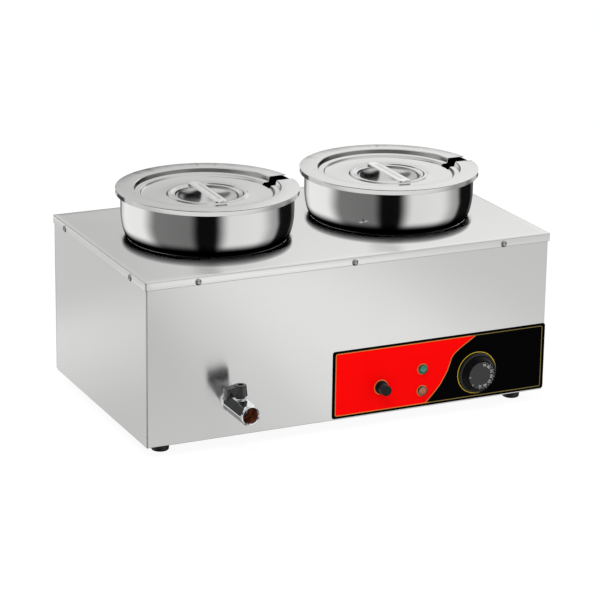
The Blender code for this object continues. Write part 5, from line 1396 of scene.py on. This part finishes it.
class BAINMARIE_OT_studio(bpy.types.Operator):
    """White table, soft even light and the camera"""
    bl_idname = "bainmarie.studio"
    bl_label = "Studio"

    def execute(self, context):
        view = settings("bain_marie_studio")
        studio_world(view.heading, view.daylight)
        studio_floor()
        # the deck and the lids mirror the back card
        reflector("back_card", (-1.2, 0.9, 0.49), (1.8, 0.9, 1.2),
                  [(-1.2, 0.66), (0.1, 0.72), (0.24, 0.79), (0.45, 1.02), (0.7, 1.06), (1.8, 1.06)],
                  grazing=0.06, reach=3.0)
        # the walls mirror three cards just above the table, and nothing above the cover does
        walls = {"grazing": 0.52, "reach": COVER_HIGH.z + MM}
        table, under, edge = 2.0 * MM, 1.5 * MM, FRONT_WALL - 20 * MM
        reflector("front_card", (-0.9, -1.3, table), (1.2, edge, table),
                  [(-0.9, 0.6), (-0.35, 0.6), (-0.16, 0.63), (-0.06, 0.84), (0.03, 1.07), (0.12, 1.17),
                   (0.24, 1.14), (0.36, 0.94), (0.45, 0.8), (0.6, 0.74), (1.2, 0.74)], **walls)
        reflector("left_card", (-1.2, -0.25, under), (-0.282, 1.0, under),
                  [(-0.25, 0.62), (-0.06, 0.66), (0.34, 0.88), (0.53, 0.72), (1.0, 0.68)], **walls, axis=1)
        reflector("right_card", (0.29, edge, under), (1.3, 1.0, under),
                  [(edge, 0.6), (0.1, 0.85), (1.0, 0.66)], **walls, axis=1)
        # painted shade: black sheets at the pots' feet and inside the pots behind the notches
        for side in ("left", "right"):
            pot_painted_shade(side, settings("bain_marie_pots").wall_radius)
        lamp = bpy.data.lights.new("soft box", "AREA")
        lamp.shape = "DISK"
        lamp.size = 1.6
        lamp.energy = 26
        box = bpy.data.objects.new("soft_box", lamp)
        box.location = (-0.9, -0.8, 2.2)
        box.rotation_euler = (Vector((0, 0, 0.1)) - box.location).to_track_quat("-Z", "Y").to_euler()
        box.visible_glossy = False
        bpy.context.scene.collection.objects.link(box)
        camera = bpy.data.cameras.new("photo camera")
        camera.lens = 156.11
        camera.sensor_width = 36.0
        eye = bpy.data.objects.new("photo_camera", camera)
        turn = (Matrix.Rotation(-view.heading, 4, "Z") @ Matrix.Rotation(HALF_TURN / 2 - view.down, 4, "X")
                @ Matrix.Rotation(math.radians(0.847), 4, "Z"))
        aim = Vector((-0.0074, 0.0007, 0.132))
        eye.matrix_world = Matrix.Translation(aim) @ turn @ Matrix.Translation((0, 0, view.distance))
        bpy.context.scene.collection.objects.link(eye)
        bpy.context.scene.camera = eye
        bpy.context.scene.view_settings.view_transform = "Standard"
        return {"FINISHED"}


class BAINMARIE_PT_sidebar(bpy.types.Panel):
    """Lists the pieces in the 3D view's sidebar"""
    bl_label = "Bain Marie"
    bl_idname = "BAINMARIE_PT_sidebar"
    bl_space_type = "VIEW_3D"
    bl_region_type = "UI"
    bl_category = "Bain Marie"

    def draw(self, context):
        for group, _ in GROUPS:
            box = self.layout.box()
            sizes = settings(group)
            for name in sizes.bl_rna.properties.keys():
                if name not in ("rna_type", "name"):
                    box.prop(sizes, name)
        for step in STEPS:
            self.layout.operator(step.bl_idname)


GROUPS = (
    ("bain_marie_steel", BainMarieSteel), ("bain_marie_pots", BainMariePots),
    ("bain_marie_print", BainMariePrint), ("bain_marie_studio", BainMarieStudio),
)
STEPS = (
    BAINMARIE_OT_studio, BAINMARIE_OT_housing, BAINMARIE_OT_screws, BAINMARIE_OT_feet, BAINMARIE_OT_pots,
    BAINMARIE_OT_lids, BAINMARIE_OT_lid_handles, BAINMARIE_OT_panel, BAINMARIE_OT_knob, BAINMARIE_OT_lamps,
    BAINMARIE_OT_fuse, BAINMARIE_OT_tap, BAINMARIE_OT_fittings,
)


def register():
    for name, group in GROUPS:
        bpy.utils.register_class(group)
        setattr(bpy.types.Scene, name, PointerProperty(type=group))
    for step in (*STEPS, BAINMARIE_PT_sidebar):
        bpy.utils.register_class(step)


def unregister():
    for step in (BAINMARIE_PT_sidebar, *reversed(STEPS)):
        bpy.utils.unregister_class(step)
    for name, group in reversed(GROUPS):
        delattr(bpy.types.Scene, name)
        bpy.utils.unregister_class(group)


def main():
    register()
    for step in STEPS:
        prefix, name = step.bl_idname.split(".")
        getattr(getattr(bpy.ops, prefix), name)()


if __name__ == "__main__":
    main()
